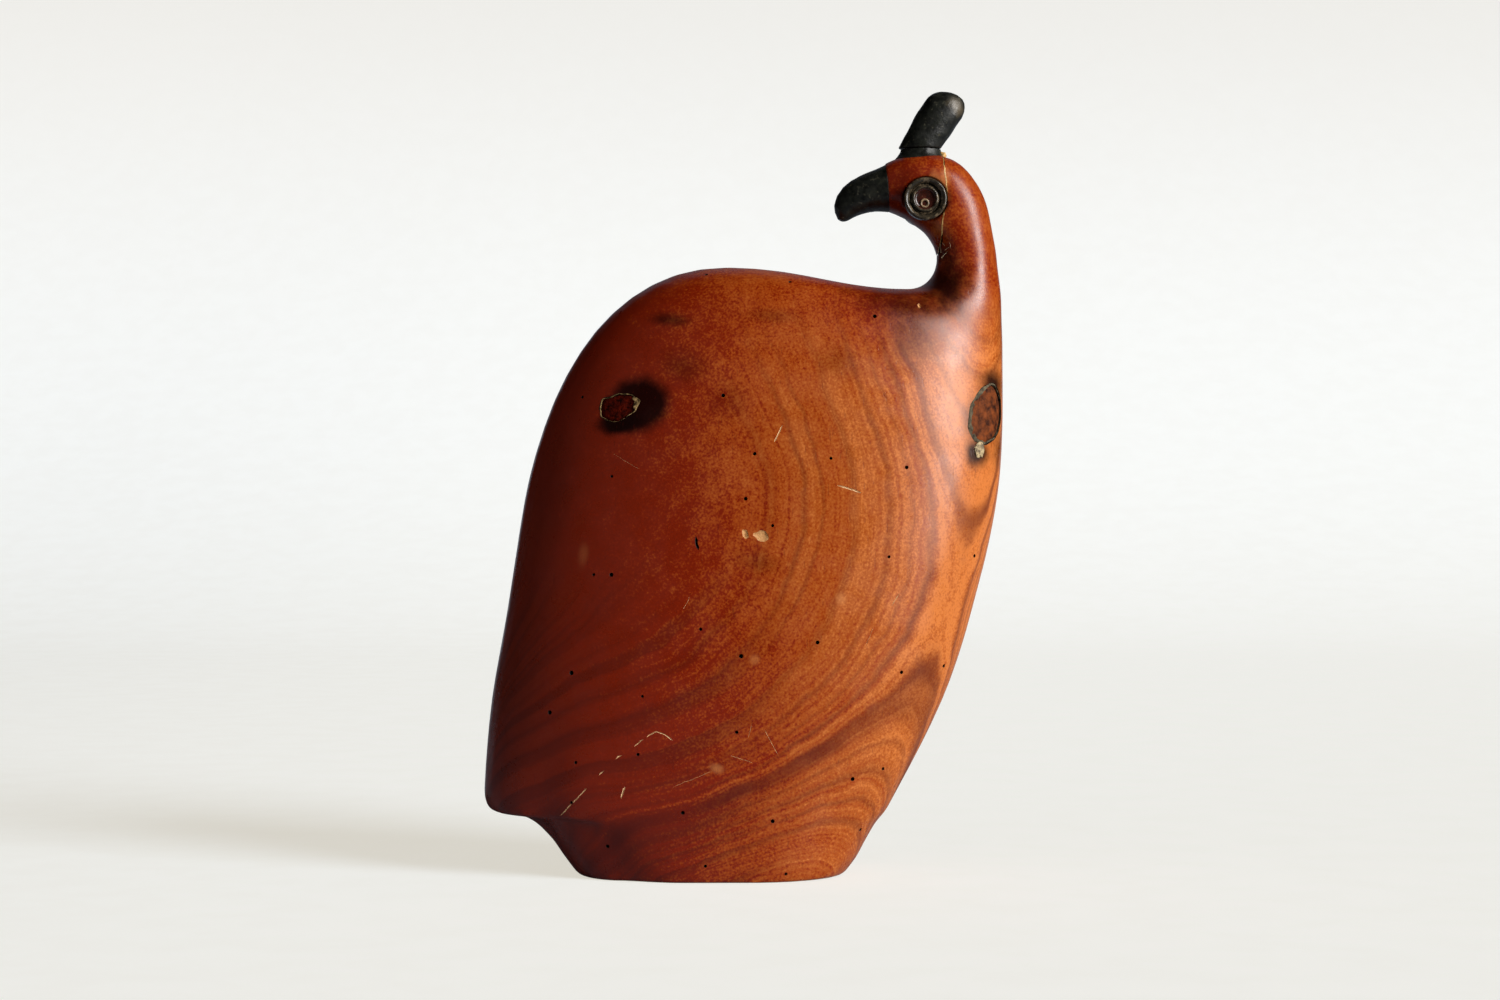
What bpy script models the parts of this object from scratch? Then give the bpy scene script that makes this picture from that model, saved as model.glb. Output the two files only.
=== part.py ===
"""A hand-carved wooden quail figurine that looks back over its shoulder.

The carving is one loft of ribs: it runs from the flat base up through the body, the neck and the
curled-over head to the tip of the beak. Cutters then part it into the pieces that it is made of.
The bird's body faces +X and its head faces -X, so the left eye is on the -Y side. The origin is
the middle of the flat base. Blender 4.5, metres, +Z up.
"""

import math
from dataclasses import dataclass

import bmesh
import bpy
import numpy as np
from mathutils import Matrix, Vector
from mathutils.bvhtree import BVHTree
from mathutils.geometry import interpolate_bezier

MM = 0.001

# Body, as seen from the side: X is measured from the middle of the base.
BASE_LENGTH = 62.2 * MM
BASE_DEPTH = 45.0 * MM
BASE_EASE = 0.5 * MM  # the worn edge round the base
TAIL_REACH = 52.5 * MM
TAIL_HEIGHT = 14.1 * MM  # underside of the tail above the base
BODY_DEPTH = 51.0 * MM
BELLY_LENGTH = 107.6 * MM
HUMP_HEIGHT = 139.3 * MM  # top of the back
HUMP_X = 3.3 * MM
HUMP_LENGTH = 67.2 * MM  # from there to the front of the breast
SHOULDER_DROP = 30.5 * MM  # from the top of the back down to the shoulder rib
SHOULDER_LENGTH = 103.7 * MM
TAIL_GROOVE_DEPTH = 1.6 * MM
TAIL_GROOVE_WIDTH = 4.5 * MM
TAIL_GROOVE_FROM_EDGE = 13.5 * MM
TAIL_GROOVE_TOP = 48.0 * MM  # height at which the groove has died out

# Neck and head.
NOOK_X = 47.0 * MM  # where the back meets the neck
NOOK_DROP = 5.1 * MM  # from the top of the back down to that nook
NECK_FOOT_WIDTH = 21.7 * MM
NECK_FOOT_DEPTH = 19.6 * MM
NECK_WIDTH = 13.8 * MM
NECK_DEPTH = 15.4 * MM
HEAD_HEIGHT = 15.9 * MM
HEAD_DEPTH = 16.0 * MM
FACE_HEIGHT = 10.8 * MM  # at the joint with the beak
FACE_DEPTH = 12.4 * MM

# Glued break behind the eye.
GLUE_THICKNESS = 0.25 * MM
GLUE_GAP = 0.2 * MM
GLUE_PROUD = 0.25 * MM
BEAD_RADIUS = 0.75 * MM

# Inlaid pieces.
SEAT_GAP = 0.25 * MM
EYE_RADIUS = 4.9 * MM
EYE_PROUD = 0.75 * MM
EYE_THICKNESS = 3.2 * MM
EYE_RING_WIDTH = 1.45 * MM
EYE_WALL = 0.3 * MM  # wood left between the eye's socket and the break
PUPIL_RADIUS = 0.8 * MM
PUPIL_OFFSET = Vector((-0.35, 0, -0.9)) * MM
TENON_RADIUS = 1.9 * MM
TENON_LENGTH = 5.0 * MM
TENON_OVERLAP = 2.6 * MM  # how far outside the wood it starts, to root it in its own piece
COLLAR_HEIGHT = 1.1 * MM  # above the crown at the middle
COLLAR_SUNK = 2.6 * MM  # how far it is drawn below the crown, for the crown to trim its foot
COLLAR_LENGTH = 8.9 * MM
COLLAR_DEPTH = 8.6 * MM
COLLAR_FLARE = 0.5 * MM  # how far the collar's front foot runs down the forehead
TOPKNOT_WIDTH = 10.3 * MM
TOPKNOT_DEPTH = 8.4 * MM
TOPKNOT_HEIGHT = 13.2 * MM
EYE_RIM = 0.35 * MM  # the step of the turned grooves
WING_KNOT_RADIUS = 4.8 * MM  # along the grain
WING_KNOT_SQUEEZE = 0.66  # its radius across the grain, over that
WING_KNOT_TURN = 22  # degrees that its long axis rises towards the breast
BREAST_KNOT_RADIUS = 6.6 * MM
KNOT_DEPTH = 11.0 * MM
KNOT_TAPER = 0.72  # inner radius over outer radius
BARK_THICKNESS = 0.55 * MM
PITCH_RADIUS = 1.6 * MM
PITCH_DEPTH = 2.5 * MM

FINISHES = {  # colour, roughness, metallic
    "oiled wood": ((0.36, 0.11, 0.03), 0.38, 0.0),
    "black wood": ((0.012, 0.012, 0.012), 0.42, 0.0),
    "old glue": ((0.62, 0.42, 0.14), 0.35, 0.0),
    "black horn": ((0.03, 0.028, 0.022), 0.3, 0.0),
    "red horn": ((0.06, 0.012, 0.01), 0.3, 0.0),
    "dead knot": ((0.12, 0.03, 0.012), 0.55, 0.0),
    "bark": ((0.2, 0.13, 0.07), 0.8, 0.0),
    "hard pitch": ((0.45, 0.33, 0.17), 0.6, 0.0),
}

SECTION_POINTS = 36
HANDLE_SHARE = 0.385  # a Bezier handle's length over its chord
ROUND_SIDES = 28


@dataclass
class Rib:
    """One cross-section of a loft: a superellipse in the plane of its chord and Y."""

    back: tuple  # (x, z) of the chord's first end
    span: float  # chord length
    tilt: float  # degrees of the chord above +X
    back_heading: float  # degrees, the way the outline runs on at each end
    front_heading: float
    depth: float  # full depth in Y
    fullness: float  # superellipse exponent: 2 is an ellipse, more is squarer
    steps: int = 1  # sections from this rib to the next

    @property
    def front(self):
        angle = math.radians(self.tilt)
        return (
            self.back[0] + self.span * math.cos(angle),
            self.back[1] + self.span * math.sin(angle),
        )


def bird_ribs():
    """The ribs from the base to the tip of the beak."""
    shoulder = HUMP_HEIGHT - SHOULDER_DROP
    belly = 0.5 * (TAIL_HEIGHT + shoulder)
    nook = (NOOK_X, HUMP_HEIGHT - NOOK_DROP)
    tail_root = (-0.765 * TAIL_REACH, 0.82 * TAIL_HEIGHT)
    under_tail = (0.945 * -TAIL_REACH, TAIL_HEIGHT)
    tail_tip = (-TAIL_REACH, TAIL_HEIGHT + 4.2 * MM)

    def near(x, z):
        return (nook[0] + x * MM, nook[1] + z * MM)

    return [
        Rib((-BASE_LENGTH / 2, 0), BASE_LENGTH, 0, 127, 52, BASE_DEPTH, 2.7, 3),
        Rib(tail_root, 1.255 * BASE_LENGTH, 0, 141, 57, 1.02 * BASE_DEPTH, 2.55, 3),
        Rib(under_tail, 1.45 * BASE_LENGTH, 0.3, 180, 59, 1.04 * BASE_DEPTH, 2.45, 3),
        Rib(tail_tip, 1.532 * BASE_LENGTH, 0.1, 88, 61, 1.05 * BASE_DEPTH, 2.4, 8),
        Rib((-0.895 * TAIL_REACH, belly), BELLY_LENGTH, 0, 80, 75, BODY_DEPTH, 2.3, 8),
        Rib((-0.689 * TAIL_REACH, shoulder), SHOULDER_LENGTH, -3.2, 67, 89, 0.94 * BODY_DEPTH, 2.25, 9),
        Rib((HUMP_X, HUMP_HEIGHT), HUMP_LENGTH, -17.6, 0, 90, 0.68 * BODY_DEPTH, 2.2, 8),
        Rib(near(-1.3, 0.1), NECK_FOOT_WIDTH, -9.5, 1, 91, NECK_FOOT_DEPTH, 2.1, 5),
        Rib(near(5.1, 7.0), NECK_WIDTH, 0, 92, 95, NECK_DEPTH, 2.05, 4),
        Rib(near(2.9, 12.5), NECK_WIDTH + 1.1 * MM, 9.4, 126, 98, NECK_DEPTH, 2.1, 4),
        Rib(near(-0.5, 15.3), NECK_WIDTH + 3.8 * MM, 41, 143, 129, HEAD_DEPTH, 2.35, 4),
        Rib(near(-3.2, 16.9), HEAD_HEIGHT, 65.5, 156, 176, HEAD_DEPTH, 2.5, 4),
        Rib(near(-6.3, 18.0), FACE_HEIGHT, 98.5, 174, 207, FACE_DEPTH, 2.3, 4),
        Rib(near(-12.7, 17.5), 0.75 * FACE_HEIGHT, 107, 203, 215, 0.74 * FACE_DEPTH, 2.1, 3),
        Rib(near(-15.6, 16.1), 0.43 * FACE_HEIGHT, 133, 214, 262, 0.5 * FACE_DEPTH, 2.0, 2),
        Rib(near(-16.6, 15.8), 0.14 * FACE_HEIGHT, 160, 200, 290, 0.28 * FACE_DEPTH, 2.0),
    ]


def nook_point():
    return Vector((NOOK_X, 0, HUMP_HEIGHT - NOOK_DROP))


def rail(points, headings, steps):
    """A smooth line through the ribs' ends, as (x, z) samples, the last rib's end included."""
    samples = []
    for i, count in enumerate(steps):
        start, end = Vector(points[i]), Vector(points[i + 1])
        handle = HANDLE_SHARE * (end - start).length
        out, arrive = math.radians(headings[i]), math.radians(headings[i + 1])
        first = start + handle * Vector((math.cos(out), math.sin(out)))
        second = end - handle * Vector((math.cos(arrive), math.sin(arrive)))
        samples += interpolate_bezier(start, first, second, end, count + 1)[:-1]
    return samples + [Vector(points[-1])]


def eased(values, steps, passes=3):
    """Values at the ribs, spread over the sections between them and smoothed."""
    at = np.concatenate([[0], np.cumsum(steps)])
    line = np.interp(np.arange(at[-1] + 1), at, values)
    for _ in range(passes):
        padded = np.pad(line, 1, mode="edge")
        line = (padded[:-2] + 2 * line + padded[2:]) / 4
        line[0], line[-1] = values[0], values[-1]
    return line


def tail_groove(from_back, height):
    """How deep the groove in front of the tail is, this far from the back edge and this high up."""
    across = math.exp(-(((from_back - TAIL_GROOVE_FROM_EDGE) / TAIL_GROOVE_WIDTH) ** 2))
    up = max(0.0, 1 - (height / TAIL_GROOVE_TOP) ** 2)
    return TAIL_GROOVE_DEPTH * across * up


def section(back, front, depth, fullness, grooved, grow):
    """The points of one closed cross-section, starting at its front end."""
    middle, half = (front + back) / 2, (front - back) / 2
    reach = half.length + grow
    along = half.normalized()
    points = []
    for k in range(SECTION_POINTS):
        angle = 2 * math.pi * k / SECTION_POINTS
        c, s = math.cos(angle), math.sin(angle)
        u = math.copysign(abs(c) ** (2 / fullness), c)
        v = math.copysign(abs(s) ** (2 / fullness), s)
        place = middle + along * reach * u
        y = (depth / 2 + grow) * v
        if grooved:
            cut = tail_groove(reach * (1 + u), place.y)
            y -= math.copysign(min(cut, abs(y)), y)
        points.append((place.x, y, place.y))
    return points


def loft(name, ribs, grow=0.0, grooved=False, first_eased=0.0):
    """A closed mesh through the ribs. first_eased rounds the edge round the first section."""
    steps = [rib.steps for rib in ribs[:-1]]
    backs = rail([rib.back for rib in ribs], [rib.back_heading for rib in ribs], steps)
    fronts = rail([rib.front for rib in ribs], [rib.front_heading for rib in ribs], steps)
    depths = eased([rib.depth for rib in ribs], steps)
    fullnesses = eased([rib.fullness for rib in ribs], steps)
    rows = [
        section(*ends, grooved=grooved, grow=grow)
        for ends in zip(backs, fronts, depths, fullnesses)
    ]
    if first_eased:
        lifted = [(x, y, z + first_eased) for x, y, z in rows[0]]
        shrunk = section(
            backs[0], fronts[0], depths[0], fullnesses[0], grooved, grow - first_eased
        )
        rows[0:1] = [shrunk, lifted]
    bm = bmesh.new()
    previous = None
    for row in rows:
        ring = [bm.verts.new(point) for point in row]
        edges = [bm.edges.new((a, b)) for a, b in zip(ring, ring[1:] + ring[:1])]
        if previous:
            bmesh.ops.bridge_loops(bm, edges=previous + edges)
        else:
            bm.faces.new(ring)
        previous = edges
    bm.faces.new(ring)
    bmesh.ops.recalc_face_normals(bm, faces=bm.faces)
    return mesh_from(name, bm)


def mesh_from(name, bm):
    mesh = bpy.data.meshes.new(name)
    bm.to_mesh(mesh)
    bm.free()
    return mesh


def finish_material(name, finish):
    colour, roughness, metallic = FINISHES[finish]
    material = bpy.data.materials.new(f"{name} {finish}")
    material.use_nodes = True
    shader = material.node_tree.nodes["Principled BSDF"]
    shader.inputs["Base Color"].default_value = (*colour, 1)
    shader.inputs["Roughness"].default_value = roughness
    shader.inputs["Metallic"].default_value = metallic
    return material


def place(name, mesh, finish=None, matrix=None):
    """Adds an object. Without a finish it is a cutter or a guide, which isn't part of the bird."""
    obj = bpy.data.objects.new(name, mesh)
    bpy.context.scene.collection.objects.link(obj)
    if matrix is not None:
        obj.matrix_world = matrix
    if finish is None:
        obj.hide_render = True
        obj.display_type = "WIRE"
        return obj
    mesh.materials.append(finish_material(name, finish))
    mesh.shade_smooth()
    mesh.set_sharp_from_angle(angle=math.radians(40))
    return obj


def boolean(obj, operation, other):
    modifier = obj.modifiers.new(other.name, "BOOLEAN")
    modifier.operation = operation
    modifier.solver = "EXACT"
    modifier.object = other


def prism(name, outline, reach):
    """A cutter with this (x, z) outline that runs from -reach to +reach in Y."""
    bm = bmesh.new()
    face = bm.faces.new([bm.verts.new((x, -reach, z)) for x, z in outline])
    pushed = bmesh.ops.extrude_face_region(bm, geom=[face])["geom"]
    moved = [item for item in pushed if isinstance(item, bmesh.types.BMVert)]
    bmesh.ops.translate(bm, verts=moved, vec=(0, 2 * reach, 0))
    bmesh.ops.recalc_face_normals(bm, faces=bm.faces)
    return place(name, mesh_from(name, bm))


def cone(name, bottom_radius, top_radius, length, matrix, squeeze=1.0):
    """A frustum that starts at the matrix's origin and runs along its +Z."""
    bm = bmesh.new()
    bmesh.ops.create_cone(
        bm,
        cap_ends=True,
        segments=ROUND_SIDES,
        radius1=bottom_radius,
        radius2=top_radius,
        depth=length,
        matrix=Matrix.Translation((0, 0, length / 2)),
    )
    bmesh.ops.scale(bm, verts=bm.verts, vec=(1, squeeze, 1))
    bmesh.ops.transform(bm, verts=bm.verts, matrix=matrix)
    return mesh_from(name, bm)


def frame_at(origin, axis, turn=0.0):
    """A matrix at origin whose +Z runs along axis, turned about it by this many degrees."""
    turned = Matrix.Rotation(math.radians(turn), 4, "Z")
    facing = Vector(axis).to_track_quat("Z", "Y").to_matrix().to_4x4()
    return Matrix.Translation(origin) @ facing @ turned


def spun(name, profile, steps=ROUND_SIDES):
    """A ring or disc turned about +Z from a closed (radius, height) profile."""
    bm = bmesh.new()
    verts = [bm.verts.new((r, 0, z)) for r, z in profile]
    edges = [bm.edges.new((a, b)) for a, b in zip(verts, verts[1:] + verts[:1])]
    bmesh.ops.spin(
        bm,
        geom=verts + edges,
        cent=(0, 0, 0),
        axis=(0, 0, 1),
        angle=2 * math.pi,
        steps=steps,
        use_merge=True,
    )
    bmesh.ops.remove_doubles(bm, verts=bm.verts, dist=1e-6)
    flat = [edge for edge in bm.edges if not edge.link_faces]
    bmesh.ops.delete(bm, geom=flat, context="EDGES")
    bmesh.ops.recalc_face_normals(bm, faces=bm.faces)
    return mesh_from(name, bm)


def crack_line(shift):
    """The break, from above the crown down to the throat, moved forward by shift, as (x, z)."""
    nook, eye = nook_point(), eye_centre()
    clear = SEAT_GAP + EYE_WALL + GLUE_GAP + GLUE_THICKNESS / 2
    beside_eye = eye.x + EYE_RADIUS + clear
    above = [(6.9, 36.0), (6.7, 30.6), (6.9, 28.4), (7.2, 25.8)]
    below = [(6.3, 15.2), (6.4, 11.6), (5.7, 9.0), (4.2, 5.2), (2.4, 4.6)]
    line = [(nook.x + x * MM, nook.z + z * MM) for x, z in above]
    line += [(beside_eye, eye.z + up * EYE_RADIUS) for up in (0.5, -0.5)]
    line += [(nook.x + x * MM, nook.z + z * MM) for x, z in below]
    return [(x - shift, z) for x, z in line]


def ahead_of_crack(name, shift):
    """The space in front of the break: the face, the beak and the open gap under the chin."""
    far = nook_point() + Vector((-28, 0, 9)) * MM
    line = crack_line(shift)
    corners = [(far.x, far.z), (far.x, line[0][1])]
    return prism(name, line + corners, HEAD_DEPTH)


def crack_slab(name):
    front, rear = crack_line(GLUE_THICKNESS / 2), crack_line(-GLUE_THICKNESS / 2)
    return prism(name, rear + front[::-1], HEAD_DEPTH)


def eye_centre():
    return nook_point() + Vector((2.0, 0, 20.3)) * MM


def eye_face():
    """How far the eyes' outer rim lies from the middle plane."""
    return HEAD_DEPTH / 2 + EYE_PROUD


def crown_point():
    """The middle of the topknot's foot on the crown."""
    return nook_point() + Vector((1.0, 0, 31.3)) * MM


def beak_root():
    """The middle of the joint between the face and the beak."""
    return nook_point() + Vector((-6.6, 0, 23.2)) * MM


def ahead_of_face(name, gap):
    """The space in front of the slightly leaning joint with the beak."""
    root = beak_root()
    lean, tall = 0.9 * MM, FACE_HEIGHT
    far = root.x - 30 * MM
    outline = [
        (root.x - lean - gap, root.z + tall),
        (root.x + lean - gap, root.z - tall),
        (far, root.z - tall),
        (far, root.z + tall),
    ]
    return prism(name, outline, HEAD_DEPTH)


def tenon(name, origin, axis, grow):
    """A round peg from just outside origin inwards; grow makes the hole for it."""
    length = TENON_OVERLAP + TENON_LENGTH + grow
    start = origin - Vector(axis).normalized() * TENON_OVERLAP
    radius = TENON_RADIUS + grow
    return cone(name, radius, radius, length, frame_at(start, axis))


def on_surface(mesh, through, out):
    """The outermost point of the mesh on the line through this point along out."""
    tree = BVHTree.FromPolygons(
        [vert.co for vert in mesh.vertices], [list(face.vertices) for face in mesh.polygons]
    )
    return tree.ray_cast(through + 0.2 * out, -out)[0]


def knot_frames(mesh):
    """Where each dead knot sits: (frame with +Z out of the wood, radius, squeeze)."""
    wing_out = Vector((0, -1, 0))
    wing = on_surface(mesh, Vector((-0.39 * TAIL_REACH, 0, 0.765 * HUMP_HEIGHT)), wing_out)
    breast_out = Vector((0.8, -0.6, 0))
    breast = on_surface(mesh, Vector((63.7 * MM, -10.8 * MM, 0.755 * HUMP_HEIGHT)), breast_out)
    return {
        "wing": (frame_at(wing, wing_out, WING_KNOT_TURN), WING_KNOT_RADIUS, WING_KNOT_SQUEEZE),
        "breast": (frame_at(breast, breast_out), BREAST_KNOT_RADIUS, 1.0),
    }


def knot_plug(name, frame, radius, squeeze, grow, extra_depth=0.0):
    """A tapered plug whose wide end reaches past the surface."""
    outside = 6 * MM
    inner = KNOT_TAPER * radius + grow
    slope = (1 - KNOT_TAPER) * radius / KNOT_DEPTH
    outer = radius + grow + slope * outside
    depth = KNOT_DEPTH + extra_depth
    start = frame @ Matrix.Translation((0, 0, -depth))
    return cone(name, inner, outer, depth + outside, start, squeeze)


def make_bird():
    """The carved wood: the body, the refitted face and the glue between them, with their sockets."""
    whole = loft("bird", bird_ribs(), grooved=True, first_eased=BASE_EASE)
    body = place("body", whole.copy(), "oiled wood")
    face = place("head_front", whole.copy(), "oiled wood")
    guide = place("bird_guide", whole.copy())
    half = GLUE_THICKNESS / 2 + GLUE_GAP
    boolean(body, "DIFFERENCE", ahead_of_crack("cut_face_off", -half))
    boolean(face, "INTERSECT", ahead_of_crack("keep_face", half))
    boolean(face, "DIFFERENCE", ahead_of_face("cut_beak_off", 0))

    glue_mesh = loft("glue", bird_ribs(), grow=GLUE_PROUD, first_eased=BASE_EASE)
    glue = place("head_glue", glue_mesh, "old glue")
    boolean(glue, "INTERSECT", crack_slab("keep_film"))
    return body, face, guide, glue


def add_glue_bead(glue, guide):
    """The drop squeezed out behind the topknot, just clear of the wood."""
    bm = bmesh.new()
    up = Vector((0, 0, 1))
    crown = on_surface(guide.data, Vector((crack_line(0)[1][0], 0, 0)), up)
    bmesh.ops.create_icosphere(
        bm,
        subdivisions=2,
        radius=BEAD_RADIUS,
        matrix=Matrix.Translation(crown + (0.6 * GLUE_PROUD + BEAD_RADIUS) * up),
    )
    boolean(glue, "UNION", place("add_bead", mesh_from("bead", bm)))


def make_beak(face):
    """The beak carries on the loft in front of the face and is pegged into it."""
    mesh = loft("beak", bird_ribs(), grooved=True, first_eased=BASE_EASE)
    beak = place("beak", mesh, "black wood")
    boolean(beak, "INTERSECT", ahead_of_face("keep_beak", SEAT_GAP))
    root, inwards = beak_root(), (1, 0, 0)
    boolean(beak, "UNION", place("beak_tenon", tenon("beak_tenon", root, inwards, 0)))
    hole = place("beak_socket", tenon("beak_socket", root, inwards, SEAT_GAP))
    boolean(face, "DIFFERENCE", hole)


def topknot_ribs(foot):
    """The plume leans back over the crown and ends in a round tip."""
    wide, tall = TOPKNOT_WIDTH, TOPKNOT_HEIGHT

    def up(x, z):
        return (foot.x + x * wide, foot.z + z * tall)

    deep = TOPKNOT_DEPTH
    return [
        Rib(up(-0.49, 0.0), 0.95 * wide, 0, 62, 58, 0.96 * deep, 2.0, 3),
        Rib(up(-0.19, 0.44), 0.97 * wide, -7, 67, 61, deep, 2.0, 3),
        Rib(up(0.04, 0.75), 0.96 * wide, -8, 55, 82, 0.98 * deep, 2.1, 3),
        Rib(up(0.28, 0.95), 0.68 * wide, -10, 28, 130, 0.72 * deep, 2.0, 2),
        Rib(up(0.46, 0.995), 0.26 * wide, -8, 8, 160, 0.3 * deep, 2.0),
    ]


def make_topknot(face):
    """The plume with its peg, and the flared collar that it stands on."""
    crown = crown_point()
    top = crown + Vector((0, 0, COLLAR_HEIGHT))
    foot = top + Vector((0.2 * MM, 0, SEAT_GAP))
    plume = place("topknot", loft("topknot", topknot_ribs(foot)), "black wood")
    down = (0, 0, -1)
    boolean(plume, "UNION", place("topknot_tenon", tenon("topknot_tenon", crown, down, 0)))
    hole = place("topknot_socket", tenon("topknot_socket", crown, down, SEAT_GAP))
    boolean(face, "DIFFERENCE", hole)

    low = crown + Vector((-COLLAR_FLARE, 0, -COLLAR_SUNK))
    span = COLLAR_LENGTH + COLLAR_FLARE
    ribs = [
        Rib((low.x - span / 2, low.z), span, 0, 80, 90, 1.08 * COLLAR_DEPTH, 2.0, 4),
        Rib((top.x - COLLAR_LENGTH / 2, top.z), COLLAR_LENGTH, 0, 70, 95, COLLAR_DEPTH, 2.0),
    ]
    collar = place("topknot_collar", loft("collar", ribs), "black wood")
    grown = place("grown_bird", loft("grown_bird", bird_ribs(), grow=SEAT_GAP))
    boolean(collar, "DIFFERENCE", grown)
    boolean(collar, "DIFFERENCE", hole)


def make_eye(side, name, face):
    """A turned ring with a domed iris in it and an off-centre pupil in that. side is -1 or +1."""
    centre = eye_centre()
    floor = eye_face() - EYE_THICKNESS
    frame = frame_at(Vector((centre.x, side * floor, centre.z)), (0, side, 0))
    socket_start = frame @ Matrix.Translation((0, 0, -SEAT_GAP))
    radius = EYE_RADIUS + SEAT_GAP
    socket = cone(f"{name}_socket", radius, radius, 2 * EYE_THICKNESS, socket_start)
    boolean(face, "DIFFERENCE", place(f"{name}_socket", socket))

    outer, inner, tall = EYE_RADIUS, EYE_RADIUS - EYE_RING_WIDTH, EYE_THICKNESS
    rim = EYE_RIM
    ring_profile = [
        (inner, 0),
        (outer, 0),
        (outer, tall - 2 * rim),
        (outer - 0.5 * rim, tall - 0.5 * rim),
        (outer - 1.5 * rim, tall),
        (inner + 1.5 * rim, tall - 0.5 * rim),
        (inner, tall - 2.5 * rim),
    ]
    place(f"{name}_ring", spun(f"{name}_ring", ring_profile), "black horn", frame)

    iris = inner - SEAT_GAP
    dome_profile = [
        (0, 0),
        (iris, 0),
        (iris, tall - 5 * rim),
        (0.82 * iris, tall - 2.6 * rim),
        (0.5 * iris, tall - 1.6 * rim),
        (0, tall - 1.2 * rim),
    ]
    dome = place(f"{name}_iris", spun(f"{name}_iris", dome_profile), "red horn", frame)
    lift = Matrix.Translation(PUPIL_OFFSET)
    hole_start = lift @ frame @ Matrix.Translation((0, 0, SEAT_GAP))
    pupil_start = hole_start @ Matrix.Translation((0, 0, SEAT_GAP))
    hole_radius = PUPIL_RADIUS + SEAT_GAP
    hole = cone(f"{name}_hole", hole_radius, hole_radius, EYE_THICKNESS, hole_start)
    boolean(dome, "DIFFERENCE", place(f"{name}_hole", hole))

    head = tall - 2 * SEAT_GAP - rim
    pupil_profile = [
        (0, 0),
        (PUPIL_RADIUS, 0),
        (PUPIL_RADIUS, head - 0.5 * rim),
        (0.75 * PUPIL_RADIUS, head),
        (0.45 * PUPIL_RADIUS, head - 0.5 * rim),
        (0, head - 0.8 * rim),
    ]
    mesh = spun(f"{name}_pupil", pupil_profile, steps=16)
    place(f"{name}_pupil", mesh, "black horn", pupil_start)


def make_knot(name, frame, radius, squeeze, body, guide):
    """A dead branch stub in its sleeve of bark, let into the body and cut flush with it."""
    socket = knot_plug(f"{name}_socket", frame, radius, squeeze, SEAT_GAP, SEAT_GAP)
    boolean(body, "DIFFERENCE", place(f"{name}_socket", socket))

    sleeve = knot_plug(f"{name}_bark", frame, radius, squeeze, 0)
    bark = place(f"{name}_bark", sleeve, "bark")
    inside = radius - BARK_THICKNESS
    hollow = knot_plug(f"{name}_hollow", frame, inside, squeeze, 0, extra_depth=2 * MM)
    boolean(bark, "DIFFERENCE", place(f"{name}_hollow", hollow))
    boolean(bark, "INTERSECT", guide)

    core = knot_plug(name, frame, inside - SEAT_GAP, squeeze, 0)
    stub = place(name, core, "dead knot")
    boolean(stub, "INTERSECT", guide)


def make_pitch_plug(body, guide):
    """The small plug of hardened pitch under the breast knot."""
    out = Vector((0.55, -0.84, 0)).normalized()
    through = Vector((61.1 * MM, -13.0 * MM, 0.697 * HUMP_HEIGHT))
    centre = on_surface(guide.data, through, out)
    deep, outside = PITCH_DEPTH, 3 * MM
    frame = frame_at(centre - deep * out, out)
    hole = cone(
        "pitch_socket",
        PITCH_RADIUS + SEAT_GAP,
        PITCH_RADIUS + SEAT_GAP,
        deep + outside,
        frame @ Matrix.Translation((0, 0, -SEAT_GAP)),
    )
    boolean(body, "DIFFERENCE", place("pitch_socket", hole))
    plug = cone("pitch_plug", PITCH_RADIUS, PITCH_RADIUS, deep + outside, frame)
    boolean(place("pitch_plug", plug, "hard pitch"), "INTERSECT", guide)


def main():
    for obj in list(bpy.data.objects):
        bpy.data.objects.remove(obj)
    body, face, guide, glue = make_bird()
    add_glue_bead(glue, guide)
    make_beak(face)
    make_topknot(face)
    for side, name in ((-1, "left_eye"), (1, "right_eye")):
        make_eye(side, name, face)
    for name, (frame, radius, squeeze) in knot_frames(guide.data).items():
        make_knot(f"{name}_knot", frame, radius, squeeze, body, guide)
    make_pitch_plug(body, guide)


main()
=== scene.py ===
# A carved wooden quail that looks back over its shoulder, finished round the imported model.
import math
import random

import bmesh
import bpy
from mathutils import Matrix, Vector, noise
from mathutils.bvhtree import BVHTree


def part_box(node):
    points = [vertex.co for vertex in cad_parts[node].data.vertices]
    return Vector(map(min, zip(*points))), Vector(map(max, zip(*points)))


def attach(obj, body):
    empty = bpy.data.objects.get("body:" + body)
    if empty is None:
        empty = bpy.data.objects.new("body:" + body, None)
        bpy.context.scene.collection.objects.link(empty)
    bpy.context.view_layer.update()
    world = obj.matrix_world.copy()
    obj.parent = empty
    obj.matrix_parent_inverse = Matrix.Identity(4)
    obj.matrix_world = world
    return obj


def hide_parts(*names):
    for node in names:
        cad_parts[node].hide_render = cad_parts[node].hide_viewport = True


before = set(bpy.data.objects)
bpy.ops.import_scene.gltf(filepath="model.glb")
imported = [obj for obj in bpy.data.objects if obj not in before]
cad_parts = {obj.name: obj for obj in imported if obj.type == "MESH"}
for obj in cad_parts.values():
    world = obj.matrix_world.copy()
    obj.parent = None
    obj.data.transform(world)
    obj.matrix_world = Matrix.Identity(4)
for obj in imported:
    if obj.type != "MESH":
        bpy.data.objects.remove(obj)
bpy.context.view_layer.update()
scene = bpy.context.scene
mm = 0.001


def newBmesh(*nodeNames):
    # the nodes' shapes in one bmesh, with their triangles joined up
    bm = bmesh.new()
    for nodeName in nodeNames:
        bm.from_mesh(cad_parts[nodeName].data)
    bmesh.ops.remove_doubles(bm, verts=bm.verts, dist=1e-6)
    return bm


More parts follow.
